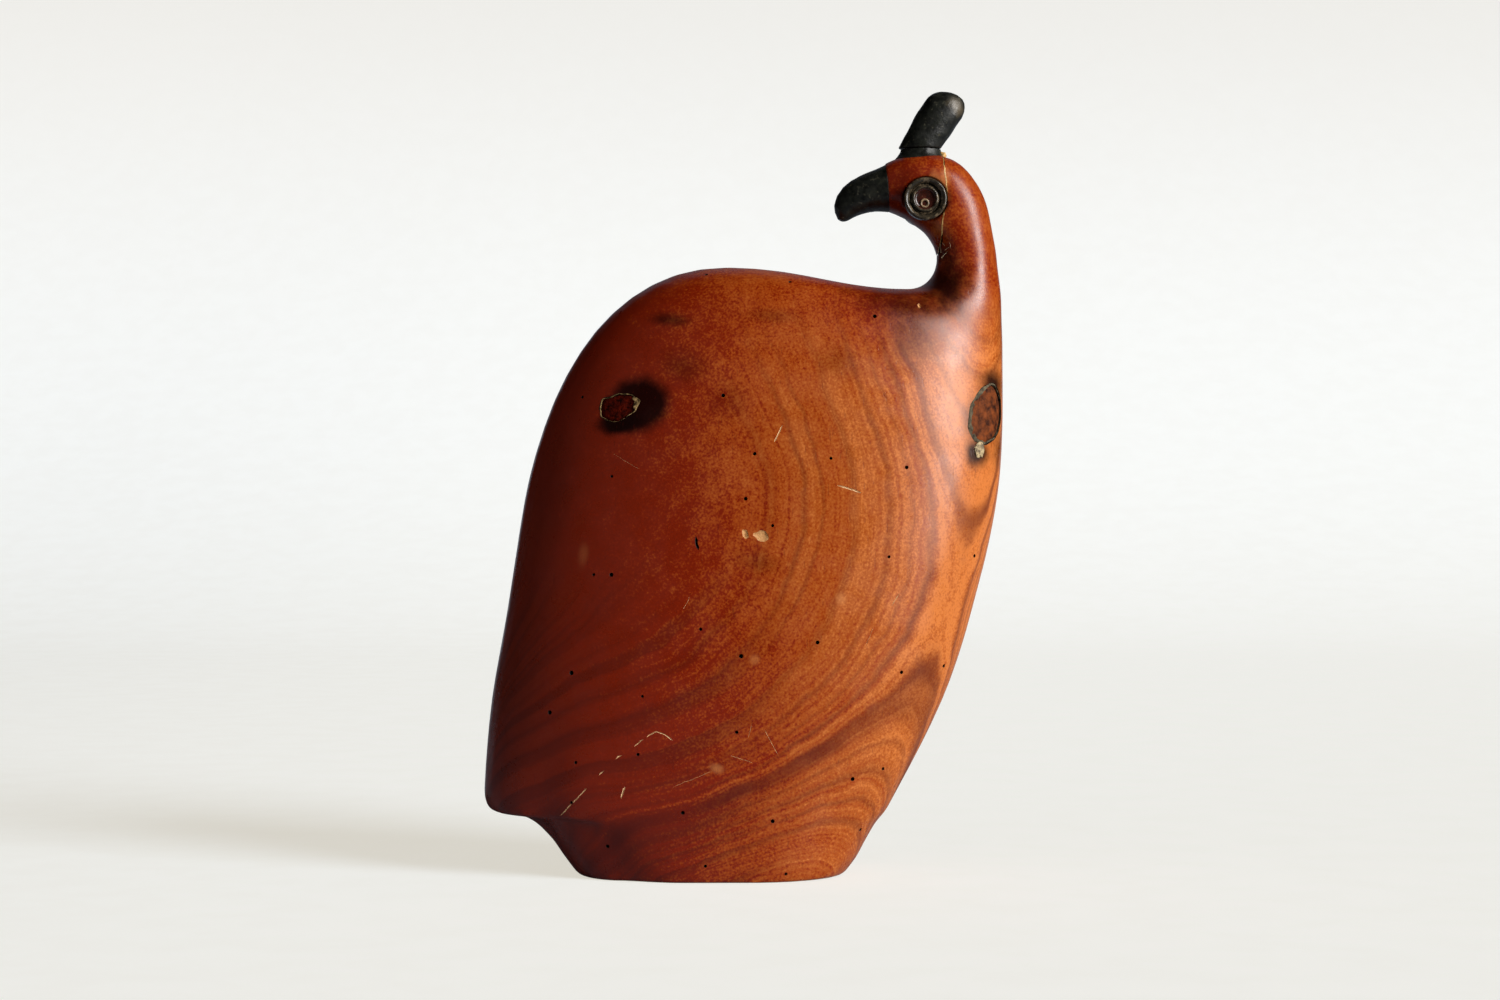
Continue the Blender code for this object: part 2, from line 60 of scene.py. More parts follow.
def newPoints(pushed):
    # the points among what an extrusion made
    return [item for item in pushed["geom"] if isinstance(item, bmesh.types.BMVert)]


def intoScene(name, data):
    obj = bpy.data.objects.new(name, data)
    scene.collection.objects.link(obj)
    return obj


def newObject(name, bm, material=None):
    mesh = bpy.data.meshes.new(name)
    bm.to_mesh(mesh)
    bm.free()
    obj = intoScene(name, mesh)
    if material:
        mesh.materials.append(material)
    return obj


def newClosed(name, bm, material):
    # for shapes whose faces may still point either way
    bmesh.ops.recalc_face_normals(bm, faces=bm.faces)
    return newObject(name, bm, material)


def coat(obj, material):
    obj.data.materials.clear()
    obj.data.materials.append(material)


def bakeModifiers(obj):
    graph = bpy.context.evaluated_depsgraph_get()
    mesh = bpy.data.meshes.new_from_object(obj.evaluated_get(graph))
    obj.modifiers.clear()
    old = obj.data
    obj.data = mesh
    bpy.data.meshes.remove(old)


def remesh(obj, voxel):
    modifier = obj.modifiers.new("skin", "REMESH")
    modifier.mode = "VOXEL"
    modifier.voxel_size = voxel
    bakeModifiers(obj)


def pushOut(obj, distance):
    # moves every point along its normal by what distance says
    bm = bmesh.new()
    bm.from_mesh(obj.data)
    bm.normal_update()
    for vert in bm.verts:
        vert.co += distance(vert.co) * vert.normal
    bm.to_mesh(obj.data)
    bm.free()


def swell(obj, amount):
    pushOut(obj, lambda place: amount)


def roughen(obj, amount, size, seed=0):
    # lets the surface rise and fall as hand work does
    shift = Vector((seed * 3.1, seed * 7.7, seed * 1.3))
    pushOut(obj, lambda place: amount * noise.noise(place / size + shift))


def smooth(obj, times, factor=0.5, weigh=None):
    # weigh gives each point's share, from its place and normal
    modifier = obj.modifiers.new("smooth", "SMOOTH")
    modifier.iterations = times
    modifier.factor = factor
    if weigh:
        group = obj.vertex_groups.new(name="smooth")
        for vert in obj.data.vertices:
            group.add([vert.index], weigh(vert.co, vert.normal), "REPLACE")
        modifier.vertex_group = "smooth"
    bakeModifiers(obj)
    obj.vertex_groups.clear()


def carve(obj, operation, cutter):
    # the cutter's faces bring their own material
    modifier = obj.modifiers.new("cut", "BOOLEAN")
    modifier.operation = operation
    modifier.solver = "EXACT"
    modifier.material_mode = "TRANSFER"
    modifier.object = cutter
    bakeModifiers(obj)
    bpy.data.objects.remove(cutter)


def finishPiece(obj, slotName, *nodeNames, sharpAngle=60):
    # smooth but for edges sharper than this
    if sharpAngle:
        obj.data.shade_smooth()
        obj.data.set_sharp_from_angle(angle=math.radians(sharpAngle))
    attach(obj, "root")
    if nodeNames:
        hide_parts(*nodeNames)


def middleOf(nodeName):
    low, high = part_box(nodeName)
    return (low + high) / 2


def surfaceTree(obj):
    return BVHTree.FromPolygons(
        [vert.co for vert in obj.data.vertices],
        [face.vertices[:] for face in obj.data.polygons],
    )


def onFlank(tree, x, z, side=-1):
    # the carving's surface at this place, seen square from one side, and its normal
    place, normal, _, _ = tree.ray_cast(Vector((x, side * 0.1, z)), Vector((0, -side, 0)))
    return place, normal


def facing(place, normal, turn=0.0):
    # a frame at this place whose +Z is the normal and whose +X lies along the flank
    across = Vector((0, 0, 1)).cross(normal).normalized()
    up = normal.cross(across)
    matrix = Matrix((across, up, normal)).transposed().to_4x4()
    return Matrix.Translation(place) @ matrix @ Matrix.Rotation(turn, 4, "Z")


def feed(tree, socket, value):
    # sets a socket to a value, or wires it to another node's output
    if isinstance(value, bpy.types.NodeSocket):
        tree.links.new(value, socket)
    elif socket.type == "RGBA":
        socket.default_value = (*value, 1)
    else:
        socket.default_value = value


def feedAll(tree, sockets, values):
    # the names have underscores for spaces
    for key, value in values.items():
        feed(tree, sockets[key.replace("_", " ")], value)


def nodeOf(tree, kind, settings=None, **values):
    made = tree.nodes.new(kind)
    for key, value in (settings or {}).items():
        setattr(made, key, value)
    feedAll(tree, made.inputs, values)
    return made


def useGroup(tree, group, **values):
    return nodeOf(tree, "ShaderNodeGroup", {"node_tree": group}, **values).outputs


def splitOf(tree, vector):
    return nodeOf(tree, "ShaderNodeSeparateXYZ", Vector=vector).outputs


def maths(tree, operation, a, b=None, c=None, clamp=False):
    made = nodeOf(tree, "ShaderNodeMath", {"operation": operation, "use_clamp": clamp})
    for socket, value in zip(made.inputs, (a, b, c)):
        if value is not None:
            feed(tree, socket, value)
    return made.outputs[0]


def times(tree, a, b):
    return maths(tree, "MULTIPLY", a, b)


def ranged(tree, value, low, high, toLow=0.0, toHigh=1.0, smoothly=True):
    return nodeOf(
        tree, "ShaderNodeMapRange", {"interpolation_type": "SMOOTHSTEP" if smoothly else "LINEAR"},
        Value=value, From_Min=low, From_Max=high, To_Min=toLow, To_Max=toHigh,
    ).outputs["Result"]


def noiseOf(tree, vector, scale, detail=3.0, roughness=0.55, distortion=0.0):
    return nodeOf(
        tree, "ShaderNodeTexNoise",
        Vector=vector, Scale=scale, Detail=detail, Roughness=roughness, Distortion=distortion,
    ).outputs["Fac"]


def lineNoise(tree, value, scale):
    # noise along one number
    return nodeOf(
        tree, "ShaderNodeTexNoise", {"noise_dimensions": "1D"}, W=value, Scale=scale, Detail=3.0
    ).outputs["Fac"]


def mixed(tree, share, a, b):
    made = nodeOf(tree, "ShaderNodeMix", {"data_type": "RGBA"})
    for socket, value in ((made.inputs[0], share), (made.inputs[6], a), (made.inputs[7], b)):
        feed(tree, socket, value)
    return made.outputs[2]


def colourRamp(tree, value, stops):
    made = nodeOf(tree, "ShaderNodeValToRGB", Fac=value)
    elements = made.color_ramp.elements
    while len(elements) < len(stops):
        elements.new(0.5)
    for element, (place, colour) in zip(elements, stops):
        element.position = place
        element.color = (*colour, 1)
    return made.outputs["Color"]


def placed(tree, vector, location=(0, 0, 0), rotation=(0, 0, 0), scale=(1, 1, 1)):
    # the coordinates as seen from a frame at this place
    return nodeOf(
        tree, "ShaderNodeMapping", {"vector_type": "TEXTURE"},
        Vector=vector, Location=location, Rotation=rotation, Scale=scale,
    ).outputs["Vector"]


def lengthOf(tree, vector):
    made = nodeOf(tree, "ShaderNodeVectorMath", {"operation": "LENGTH"})
    feed(tree, made.inputs[0], vector)
    return made.outputs["Value"]


def newGroup(name, vectors, numbers, results):
    group = bpy.data.node_groups.new(name, "ShaderNodeTree")
    for keys, way, kind in (
        (vectors, "INPUT", "Vector"), (numbers, "INPUT", "Float"), (results, "OUTPUT", "Float"),
    ):
        for key in keys:
            group.interface.new_socket(key, in_out=way, socket_type="NodeSocket" + kind)
    return group, group.nodes.new("NodeGroupInput").outputs, group.nodes.new("NodeGroupOutput").inputs


def newMaterial(name, roughness, shine=0.5, **values):
    material = bpy.data.materials.new(name)
    material.use_nodes = True
    tree = material.node_tree
    shader = tree.nodes["Principled BSDF"].inputs
    feedAll(tree, shader, {"Roughness": roughness, "Specular_IOR_Level": shine, **values})
    coords = nodeOf(tree, "ShaderNodeTexCoord").outputs["Object"]
    return material, tree, shader, coords


def bumpFrom(tree, shader, height, distance, strength=1.0):
    made = nodeOf(tree, "ShaderNodeBump", Height=height, Strength=strength, Distance=distance)
    feed(tree, shader["Normal"], made.outputs["Normal"])


def makeRingsGroup():
    # growth layers: shells round a centre behind the block, pushed about a little
    group, given, result = newGroup("growthRings", ["Vector"], [], ["Field", "Broad", "Fine"])
    centre = Vector((-13.2, 62.8, 78.3)) * mm
    inTree = placed(group, given["Vector"], centre, (0, 0.402, 0), (1.027, 1, 1.156))
    radius = times(group, lengthOf(group, inTree), 1000)
    for scale, push in ((28, 0.8), (150, 0.3)):
        wander = noiseOf(group, given["Vector"], scale, 2)
        radius = maths(group, "ADD", radius, ranged(group, wander, 0, 1, -push, push, False))
    feed(group, result["Field"], radius)
    feed(group, result["Broad"], lineNoise(group, radius, 0.55))
    feed(group, result["Fine"], lineNoise(group, radius, 3.2))
    return group


def makeLineGroup():
    # one dark growth line at a given radius
    group, given, result = newGroup("growthLine", [], ["Field", "Radius", "Width"], ["Mask"])
    off = maths(group, "ABSOLUTE", maths(group, "SUBTRACT", given["Field"], given["Radius"]))
    share = maths(group, "DIVIDE", off, given["Width"], clamp=True)
    feed(group, result["Mask"], ranged(group, share, 0, 1, 1, 0))
    return group


def makeSpotGroup():
    # a cloudy patch round a place, darkest in its middle
    group, given, result = newGroup(
        "cloudyPatch", ["Vector", "Place", "Size", "Turn"], ["Ragged", "Core"], ["Mask"]
    )
    inSpot = placed(group, given["Vector"], given["Place"], given["Turn"], given["Size"])
    edge = ranged(group, noiseOf(group, given["Vector"], 300, 4, 0.6), 0.25, 0.75, -1, 1, False)
    reach = maths(group, "MULTIPLY_ADD", edge, given["Ragged"], lengthOf(group, inSpot))
    feed(group, result["Mask"], ranged(group, reach, 1.1, given["Core"]))
    return group


def makeGrainGroup():
    # the fine unevenness every material has, as a value round a half
    group, given, result = newGroup("grain", ["Vector"], ["Scale"], ["Value"])
    feed(group, result["Value"], noiseOf(group, given["Vector"], given["Scale"], 4.0, 0.65))
    return group


def makeWearGroup():
    # patches where a finish has been rubbed away
    group, given, result = newGroup("wear", ["Vector"], ["Scale", "From", "To"], ["Mask"])
    patches = noiseOf(group, given["Vector"], given["Scale"], 5.0, 0.7)
    feed(group, result["Mask"], ranged(group, patches, given["From"], given["To"]))
    return group


rings = makeRingsGroup()
ringLine = makeLineGroup()
cloudyPatch = makeSpotGroup()
grainGroup = makeGrainGroup()
wearGroup = makeWearGroup()

woodFinish = {
    "tones": (  # from the tail to the breast: the wood's own darker heartwood at the tail, and painted shade darkening the tail side away from the lamps
        (0.00, (0.165, 0.0130, 0.0020)),
        (0.20, (0.155, 0.0092, 0.0006)),
        (0.40, (0.185, 0.0115, 0.0008)),
        (0.58, (0.300, 0.0470, 0.0040)),
        (0.77, (0.375, 0.0850, 0.0120)),
        (1.00, (0.560, 0.1620, 0.0330)),
    ),
    "line": (0.080, 0.0052, 0.0015),
    "sweep": (0.055, 0.0052, 0.0022),
    "neckDarker": 0.46,
    "swings": (0.08, 0.12, 0.07, 0.10, 0.11, 0.19),  # how far each layer moves the tone
    "zones": {  # the axis, and where each part of the figure starts and is full, in mm
        "breastSide": ("X", -6, 24),
        "low": ("Z", 80, 48),
        "foot": ("Z", 56, 36),
        "belowBack": ("Z", 134, 108),
        "neckUp": ("Z", 106, 142),
        "neckOut": ("X", 10, 46),
        "shadedTailToLitBreast": ("X", -50, 62),
    },
    "gold": ((8, 0, 96), (34, 60, 46), 0.2, 0.1, 0.1),  # place, half size, turn, ragged, core
    "goldLighter": 0.05,
    "footLine": 103.0,  # the radius of the one line that shows only low down
    "lines": (  # radius in the growth layers, width, depth
        (86.4, 0.60, 0.28), (88.4, 0.45, 0.35), (91.0, 0.70, 0.30),
        (93.3, 0.35, 0.40), (94.4, 0.25, 0.30), (96.6, 0.55, 0.32),
        (98.9, 0.40, 0.50), (100.2, 0.22, 0.35), (101.2, 0.34, 0.60),
        (102.5, 0.50, 0.75), (103.0, 1.10, 0.85), (104.4, 0.30, 0.32),
        (105.6, 0.45, 0.42), (107.1, 0.30, 0.40), (108.5, 0.55, 0.40),
    ),
    "stainsAndShade": (  # dark patches, most of them stains and some painted shade: place, half size, turn, strength, core, in mm
        ((-9.5, -22, 126.5), (6.5, 20, 2.4), 0.1, 0.85, 0.1),
        ((-6, -22, 115.5), (8, 20, 5.5), 0.4, 0.4, 0.0),
        ((29, -22, 116.5), (7, 20, 5.0), 0.5, 0.25, 0.0),
        ((14, -22, 127), (8, 20, 2.4), 0.1, 0.3, 0.0),
        ((4, -22, 108), (7, 20, 6.0), 0.0, 0.2, 0.0),
        ((10.5, -22, 72.0), (6.5, 20, 3.4), 0.2, 0.3, 0.0),
        ((-16.3, -22, 107.2), (8.4, 20, 7.2), -0.3, 0.97, 0.62),
        ((-20.5, -22, 103.2), (6.5, 20, 3.4), -0.15, 0.99, 0.5),
        # the next three: painted shade in the nook below the neck and under the head at the throat, over
        # the throat's own dark colour
        ((44, -18, 131), (19, 22, 8.5), 0.25, 0.75, 0.0),
        ((53.5, -8, 134.5), (8.5, 12, 10), 0.0, 0.95, 0.12),
        ((52.5, -8, 142.5), (3.0, 12, 3.0), 0.0, 0.8, 0.2),
        ((44, 0, 156), (10, 16, 13), 0.0, 0.5, 0.0),
        ((65.0, -9.5, 111.8), (5.5, 9, 5.0), 0.0, 0.96, 0.25),
        ((60.6, -14, 96.3), (4.2, 8, 4.4), 0.0, 0.95, 0.3),
        ((59.4, -14, 104.5), (3.6, 9, 7.5), 0.15, 0.5, 0.2),
        # painted shade below the nook, beside the highlight
        ((46, -18, 122), (9, 22, 9), 0.0, 0.5, 0.0),
        ((67, -7, 97.5), (6, 8, 7), 0.0, 0.55, 0.0),
        ((70, -3, 122), (5.5, 14, 24), 0.0, 0.6, 0.0),
        ((-42, -22, 36), (7, 20, 20), 0.1, 0.2, 0.0),
        ((-36, -22, 88), (7, 20, 20), 0.25, 0.2, 0.0),
        ((-22, 22, 96), (9, 20, 7), 0.4, 0.7, 0.0),
        ((20, 22, 112), (7, 20, 5), 0.0, 0.6, 0.0),
        ((6, 22, 60), (6, 20, 10), 0.6, 0.5, 0.0),
        ((50, 16, 130), (14, 16, 7), 0.25, 0.7, 0.0),
    ),
    "stainAndShadeTint": (0.006, 0.0006, 0.0003),
    "worn": (  # paler, rubbed or dry places
        ((51.2, -9, 156.8), (2.0, 5, 5.5), 0.0, 0.6, 0.2),
        ((53.4, -8, 159.0), (1.7, 6, 4.6), 0.1, 0.45, 0.1),
        ((51.6, -8, 147.4), (2.3, 6, 3.4), 0.5, 0.35, 0.1),
        ((-28.4, -22, 73.5), (1.6, 20, 3.6), 0.1, 0.12, 0.1),
        ((29.3, -22, 63.6), (1.6, 20, 2.0), 0.0, 0.4, 0.1),
        ((1.6, -22, 25.9), (2.2, 20, 1.4), 0.4, 0.35, 0.1),
        ((10, -22, 50.2), (1.6, 20, 1.6), 0.0, 0.25, 0.1),
    ),
    "wornTint": (0.62, 0.24, 0.075),
}


def patchAt(tree, coords, place, size, turn, ragged, core):
    return useGroup(
        tree, cloudyPatch, Vector=coords, Place=Vector(place) * mm, Size=Vector(size) * mm,
        Turn=(0, turn, 0), Ragged=ragged, Core=core,
    )["Mask"]


def makeWood():
    made = woodFinish
    material, tree, shader, coords = newMaterial("oiledWood", 0.3, 0.36, IOR=1.45)
    axes = splitOf(tree, coords)

    def zone(name, *span):
        axis, start, full = made["zones"][name]
        return ranged(tree, axes[axis], start * mm, full * mm, *span)

    ring = useGroup(tree, rings, Vector=coords)
    blotch = noiseOf(tree, coords, 34, 3)
    mottle = noiseOf(tree, coords, 150, 5, 0.6)
    curls = noiseOf(tree, coords, 330, 4, 0.65, 0.8)
    speckle = noiseOf(tree, coords, 1900, 2)
    # plain figure on the breast side and low down, burr figure elsewhere
    right = zone("breastSide")
    low = zone("low")
    foot = zone("foot")
    plain = maths(tree, "MAXIMUM", right, times(tree, low, 0.75))
    plain = times(tree, plain, zone("belowBack", 0.25, 1.0))
    burr = ranged(tree, plain, 0, 1, 1, 0.45, False)
    # painted shade and light: the tone climbs from the tail side, away from the lamps, to the lit breast
    # side, over the wood's own darker tail
    tone = zone("shadedTailToLitBreast", 0.0, 1.0, False)
    # the head and neck are as dark as the tail side, and the middle is golden
    neck = times(tree, zone("neckUp"), zone("neckOut"))
    tone = maths(tree, "MULTIPLY_ADD", neck, -made["neckDarker"], tone)
    gold = patchAt(tree, coords, *made["gold"])
    tone = maths(tree, "MULTIPLY_ADD", gold, made["goldLighter"], tone)
    layers = (ring["Broad"], ring["Fine"], blotch, mottle, curls, speckle)
    shares = (plain, plain, burr, burr, burr, 1.0)
    for layer, swing, share in zip(layers, made["swings"], shares):
        part = ranged(tree, layer, 0.25, 0.75, -swing, swing, False)
        tone = maths(tree, "ADD", tone, times(tree, part, share), clamp=True)
    colour = colourRamp(tree, tone, made["tones"])
    patchy = ranged(tree, blotch, 0.35, 0.6, 0.55, 1.0)
    for radius, width, depth in made["lines"]:
        line = useGroup(tree, ringLine, Field=ring["Field"], Radius=radius, Width=width)["Mask"]
        where = foot if radius == made["footLine"] else plain
        shown = times(tree, times(tree, line, patchy), where)
        colour = mixed(tree, times(tree, shown, depth), colour, made["line"])
    # dark sweeps across the foot of the tail side
    sweeps = times(tree, ranged(tree, ring["Broad"], 0.46, 0.62, 0.0, 0.42), low)
    sweeps = times(tree, sweeps, maths(tree, "SUBTRACT", 1.0, right))
    colour = mixed(tree, sweeps, colour, made["sweep"])
    for patches, tint in (("stainsAndShade", made["stainAndShadeTint"]), ("worn", made["wornTint"])):
        for place, size, turn, strength, core in made[patches]:
            spot = patchAt(tree, coords, place, size, turn, 0.18 * (1 - core), core)
            colour = mixed(tree, times(tree, spot, strength), colour, tint)
    fibres = noiseOf(tree, placed(tree, coords, scale=(1, 1, 9)), 2200, 2)
    pores = ranged(tree, fibres, 0.64, 0.74)
    colour = mixed(tree, times(tree, pores, 0.35), colour, made["line"])
    feed(tree, shader["Base Color"], colour)
    feed(tree, shader["Roughness"], ranged(tree, mottle, 0.3, 0.7, 0.25, 0.38))
    height = maths(tree, "SUBTRACT", times(tree, mottle, 0.6), times(tree, pores, 0.3))
    bumpFrom(tree, shader, height, 0.04 * mm, 0.6)
    return material


def startDull(name, dark, light, scale, roughness, bump, **values):
    # a speckled finish between two colours, for its maker to add to
    material, tree, shader, coords = newMaterial(name, roughness, **values)
    grain = useGroup(tree, grainGroup, Vector=coords, Scale=scale)["Value"]
    colour = colourRamp(tree, grain, ((0.32, dark), (0.68, light)))
    feed(tree, shader["Base Color"], colour)
    bumpFrom(tree, shader, grain, bump * mm)
    return material, tree, shader, coords, colour


def makeDull(*look, **values):
    return startDull(*look, **values)[0]


def wornShare(tree, coords, scale, start, width):
    end = start + width
    return useGroup(tree, wearGroup, Vector=coords, Scale=scale, From=start, To=end)["Mask"]


blackFinish = {
    "dark": (0.0010, 0.0011, 0.0009),
    "light": (0.0125, 0.0135, 0.0100),
    "worn": (  # size of the patches, where they start, strength, tint
        (170, 0.54, 0.55, (0.024, 0.024, 0.016)),
        (900, 0.57, 0.75, (0.085, 0.078, 0.052)),
    ),
    "handled": ((56.6, -3, 176.5), (2.2, 5, 3.2), -0.5, 0.5, 0.1),
    "handledTint": (0.105, 0.080, 0.048),
}


def makeBlackWood():
    # blackened wood, rubbed grey-brown where it is handled
    made = blackFinish
    material, tree, shader, coords, colour = startDull(
        "blackWood", made["dark"], made["light"], 620, 0.42, 0.14, shine=0.36
    )
    for scale, start, share, tint in made["worn"]:
        worn = wornShare(tree, coords, scale, start, 0.14)
        colour = mixed(tree, times(tree, worn, share), colour, tint)
    handled = patchAt(tree, coords, *made["handled"])
    colour = mixed(tree, times(tree, handled, 0.75), colour, made["handledTint"])
    feed(tree, shader["Base Color"], colour)
    feed(tree, shader["Roughness"], ranged(tree, noiseOf(tree, coords, 300, 4), 0.3, 0.7, 0.3, 0.55))
    return material


def makeHorn(name, dark, light, wornColour, wornFrom):
    # turned horn with patches worn down to a paler colour
    material, tree, shader, coords, colour = startDull(name, dark, light, 700, 0.26, 0.02, IOR=1.5)
    worn = wornShare(tree, coords, 650, wornFrom, 0.16)
    feed(tree, shader["Base Color"], mixed(tree, worn, colour, wornColour))
    return material


oiledWood = makeWood()
blackWood = makeBlackWood()
rawWood = makeDull("rawWood", (0.38, 0.16, 0.045), (0.60, 0.31, 0.11), 1100, 0.7, 0.2)
scratchedWood = makeDull("scratchedWood", (0.40, 0.20, 0.08), (0.85, 0.60, 0.34), 1500, 0.7, 0.1)
paleFibre = makeDull("paleFibre", (0.38, 0.22, 0.10), (0.90, 0.72, 0.48), 900, 0.8, 0.1)
# near-black walls for the pin holes, the nick, the break and the knot sockets: painted shade in these
# recesses
paintedRecessShade = makeDull("paintedRecessShade", (0.004, 0.001, 0.0005), (0.02, 0.004, 0.002), 900, 0.9, 0.05)
oldGlue = makeDull("oldGlue", (0.26, 0.11, 0.022), (0.78, 0.50, 0.18), 900, 0.4, 0.08, IOR=1.5)
rimHorn = makeHorn(
    "rimHorn", (0.008, 0.0065, 0.0045), (0.045, 0.034, 0.021), (0.135, 0.098, 0.058), 0.48
)
redHorn = makeHorn("redHorn", (0.010, 0.003, 0.002), (0.058, 0.010, 0.005), (0.12, 0.06, 0.03), 0.60)
pupilHorn = makeHorn("pupilHorn", (0.010, 0.006, 0.004), (0.05, 0.034, 0.02), (0.28, 0.19, 0.11), 0.42)
darkKnot = makeDull(
    "darkKnot", (0.003, 0.0003, 0.0002), (0.085, 0.0050, 0.0008), 900, 0.8, 0.2, shine=0.03
)
redKnot = makeDull("redKnot", (0.007, 0.001, 0.0006), (0.205, 0.047, 0.009), 480, 0.7, 0.2, shine=0.12)
dryBark = makeDull("dryBark", (0.010, 0.003, 0.001), (0.34, 0.22, 0.09), 1300, 0.85, 0.2, shine=0.1)
greyBark = makeDull("greyBark", (0.016, 0.011, 0.007), (0.145, 0.115, 0.07), 900, 0.8, 0.2, shine=0.15)
hardPitch = makeDull("hardPitch", (0.03, 0.016, 0.008), (0.60, 0.45, 0.24), 1100, 0.7, 0.3)
print("materials made")

carvingSize = {
    "bridge": 0.45 * mm,  # the pieces grow by this before they are fused
    "firstVoxel": 0.42 * mm,
    "bodyVoxel": 0.76 * mm,
    "headVoxel": 0.3 * mm,
    "headFrom": 128 * mm,  # the fine skin starts this high
    "neckFrom": 136 * mm,
    "neckFade": 14 * mm,
    "flatFrom": 0.6,  # how squarely a flank faces aside to be smoothed
    "flatFade": 0.3,
    "edgeShare": 0.02,
    "whittle": 0.14 * mm,  # how far the hand-rubbed surface wanders
    "whittleSize": 17 * mm,
}
woodNodes = (
    "body", "head_front", "wing_knot", "wing_knot_bark", "breast_knot", "breast_knot_bark", "pitch_plug",
)


def fuse(name, voxel, bottom=None):
    # one closed skin over all the wooden pieces
    bm = newBmesh(*woodNodes)
    if bottom is not None:
        whole = bm.verts[:] + bm.edges[:] + bm.faces[:]
        cut = bmesh.ops.bisect_plane(
            bm, geom=whole, plane_co=(0, 0, bottom), plane_no=(0, 0, 1), clear_inner=True
        )["geom_cut"]
        bmesh.ops.holes_fill(bm, edges=[item for item in cut if isinstance(item, bmesh.types.BMEdge)])
    obj = newObject(name, bm)
    remesh(obj, max(carvingSize["firstVoxel"], voxel))
    swell(obj, carvingSize["bridge"])
    remesh(obj, voxel)
    swell(obj, -carvingSize["bridge"])
    return obj


def flankShare(place, normal):
    # flat flanks take all of the long smoothing, edges hardly any, and the neck none
    below = min(1.0, max(0.0, (carvingSize["neckFrom"] - place.z) / carvingSize["neckFade"]))
    flat = (abs(normal.y) - carvingSize["flatFrom"]) / carvingSize["flatFade"]
    return below * min(1.0, max(carvingSize["edgeShare"], flat))


body = fuse("bodyCarving", carvingSize["bodyVoxel"])
smooth(body, 5)
smooth(body, 90, 0.7, flankShare)
head = fuse("headCarving", carvingSize["headVoxel"], carvingSize["headFrom"])
smooth(head, 8)
for skin in (body, head):
    roughen(skin, carvingSize["whittle"], carvingSize["whittleSize"])
print("skins", len(body.data.polygons), len(head.data.polygons))

eyeCentre = middleOf("left_eye_ring")

breakLine = {
    "path": (  # from above the crown down to the throat, measured from the left eye in mm
        (4.5, 16.0), (4.5, 10.3), (4.4, 8.0), (4.75, 4.3), (5.05, 1.2), (4.95, -1.2),
        (4.35, -2.8), (3.9, -6.0), (3.8, -9.4), (3.3, -11.7), (2.6, -14.1), (1.2, -15.0), (-3.0, -14.6),
    ),
    "kerf": 0.135 * mm,  # half the width of the parted line
    "zigzag": 0.24 * mm,
    "zigzagScale": 900,
    "step": 0.5 * mm,
    "reach": 15 * mm,  # the cutters go this far out to both sides
    "ahead": 19 * mm,  # and this far forward of the eye
    "proud": 0.05 * mm,  # how far the glue stands out of the break
    "glueScale": 260,  # how long the filled stretches of the break are
    "glueFrom": 0.02,
    "glueGap": -0.4,
}


def breakPath(shift):
    # the broken edge, moved forward by shift, as points in the middle plane
    corners = [Vector((eyeCentre.x + x * mm, 0, eyeCentre.z + z * mm)) for x, z in breakLine["path"]]
    points = []
    for start, end in zip(corners, corners[1:]):
        count = max(1, round((end - start).length / breakLine["step"]))
        points += [start.lerp(end, i / count) for i in range(count)]
    points.append(corners[-1])
    moved = []
    for point in points:
        jag = breakLine["zigzag"] * noise.noise(point * breakLine["zigzagScale"])
        moved.append(Vector((point.x - shift + jag, 0, point.z)))
    return moved


def prism(name, outline, material):
    # a cutter with this outline, seen from the side, that runs right through
    bm = bmesh.new()
    reach = breakLine["reach"]
    face = bm.faces.new([bm.verts.new((point.x, -reach, point.z)) for point in outline])
    moved = newPoints(bmesh.ops.extrude_face_region(bm, geom=[face]))
    bmesh.ops.translate(bm, verts=moved, vec=(0, 2 * reach, 0))
    return newClosed(name, bm, material)


def aheadOfBreak(shift):
    path = breakPath(shift)
    far = eyeCentre.x - breakLine["ahead"]
    corners = [Vector((far, 0, path[-1].z)), Vector((far, 0, path[0].z))]
    return prism("ahead", path + corners, paintedRecessShade)


glue = intoScene("glueLine", head.data.copy())
coat(body, oiledWood)
coat(head, oiledWood)
coat(glue, oldGlue)
# the break's walls take the near-black painted shade, seen where the glue leaves gaps
carve(body, "DIFFERENCE", aheadOfBreak(-breakLine["kerf"]))
carve(head, "INTERSECT", aheadOfBreak(breakLine["kerf"]))
head.name = "faceCarving"
print("break cut")

# the glue fills most of the break and stands a hair proud
swell(glue, breakLine["proud"])
front = breakPath(breakLine["kerf"])
back = []
for point in breakPath(0):
    full = noise.noise(point * breakLine["glueScale"] + Vector((3, 0, 1))) > breakLine["glueFrom"]
    filled = 1.0 if full else breakLine["glueGap"]
    back.append(point + Vector((filled * breakLine["kerf"], 0, 0)))
carve(glue, "INTERSECT", prism("film", front + back[::-1], oldGlue))

beadShape = {
    "middle": (4.4, 11),  # behind and above the eye, in mm
    "spread": 0.5,
    "lift": 0.12,
    "blobs": (  # along, aside and radius, in mm
        (0.0, 0.3, 1.0), (0.7, -0.6, 0.9), (-0.7, -0.9, 0.7), (0.2, 1.3, 0.75), (1.2, 0.6, 0.5),
        (-0.4, -2.2, 0.55),
    ),
    "voxel": 0.12 * mm,
    "lumps": (0.22 * mm, 0.6 * mm, 5),  # height, size and seed
}


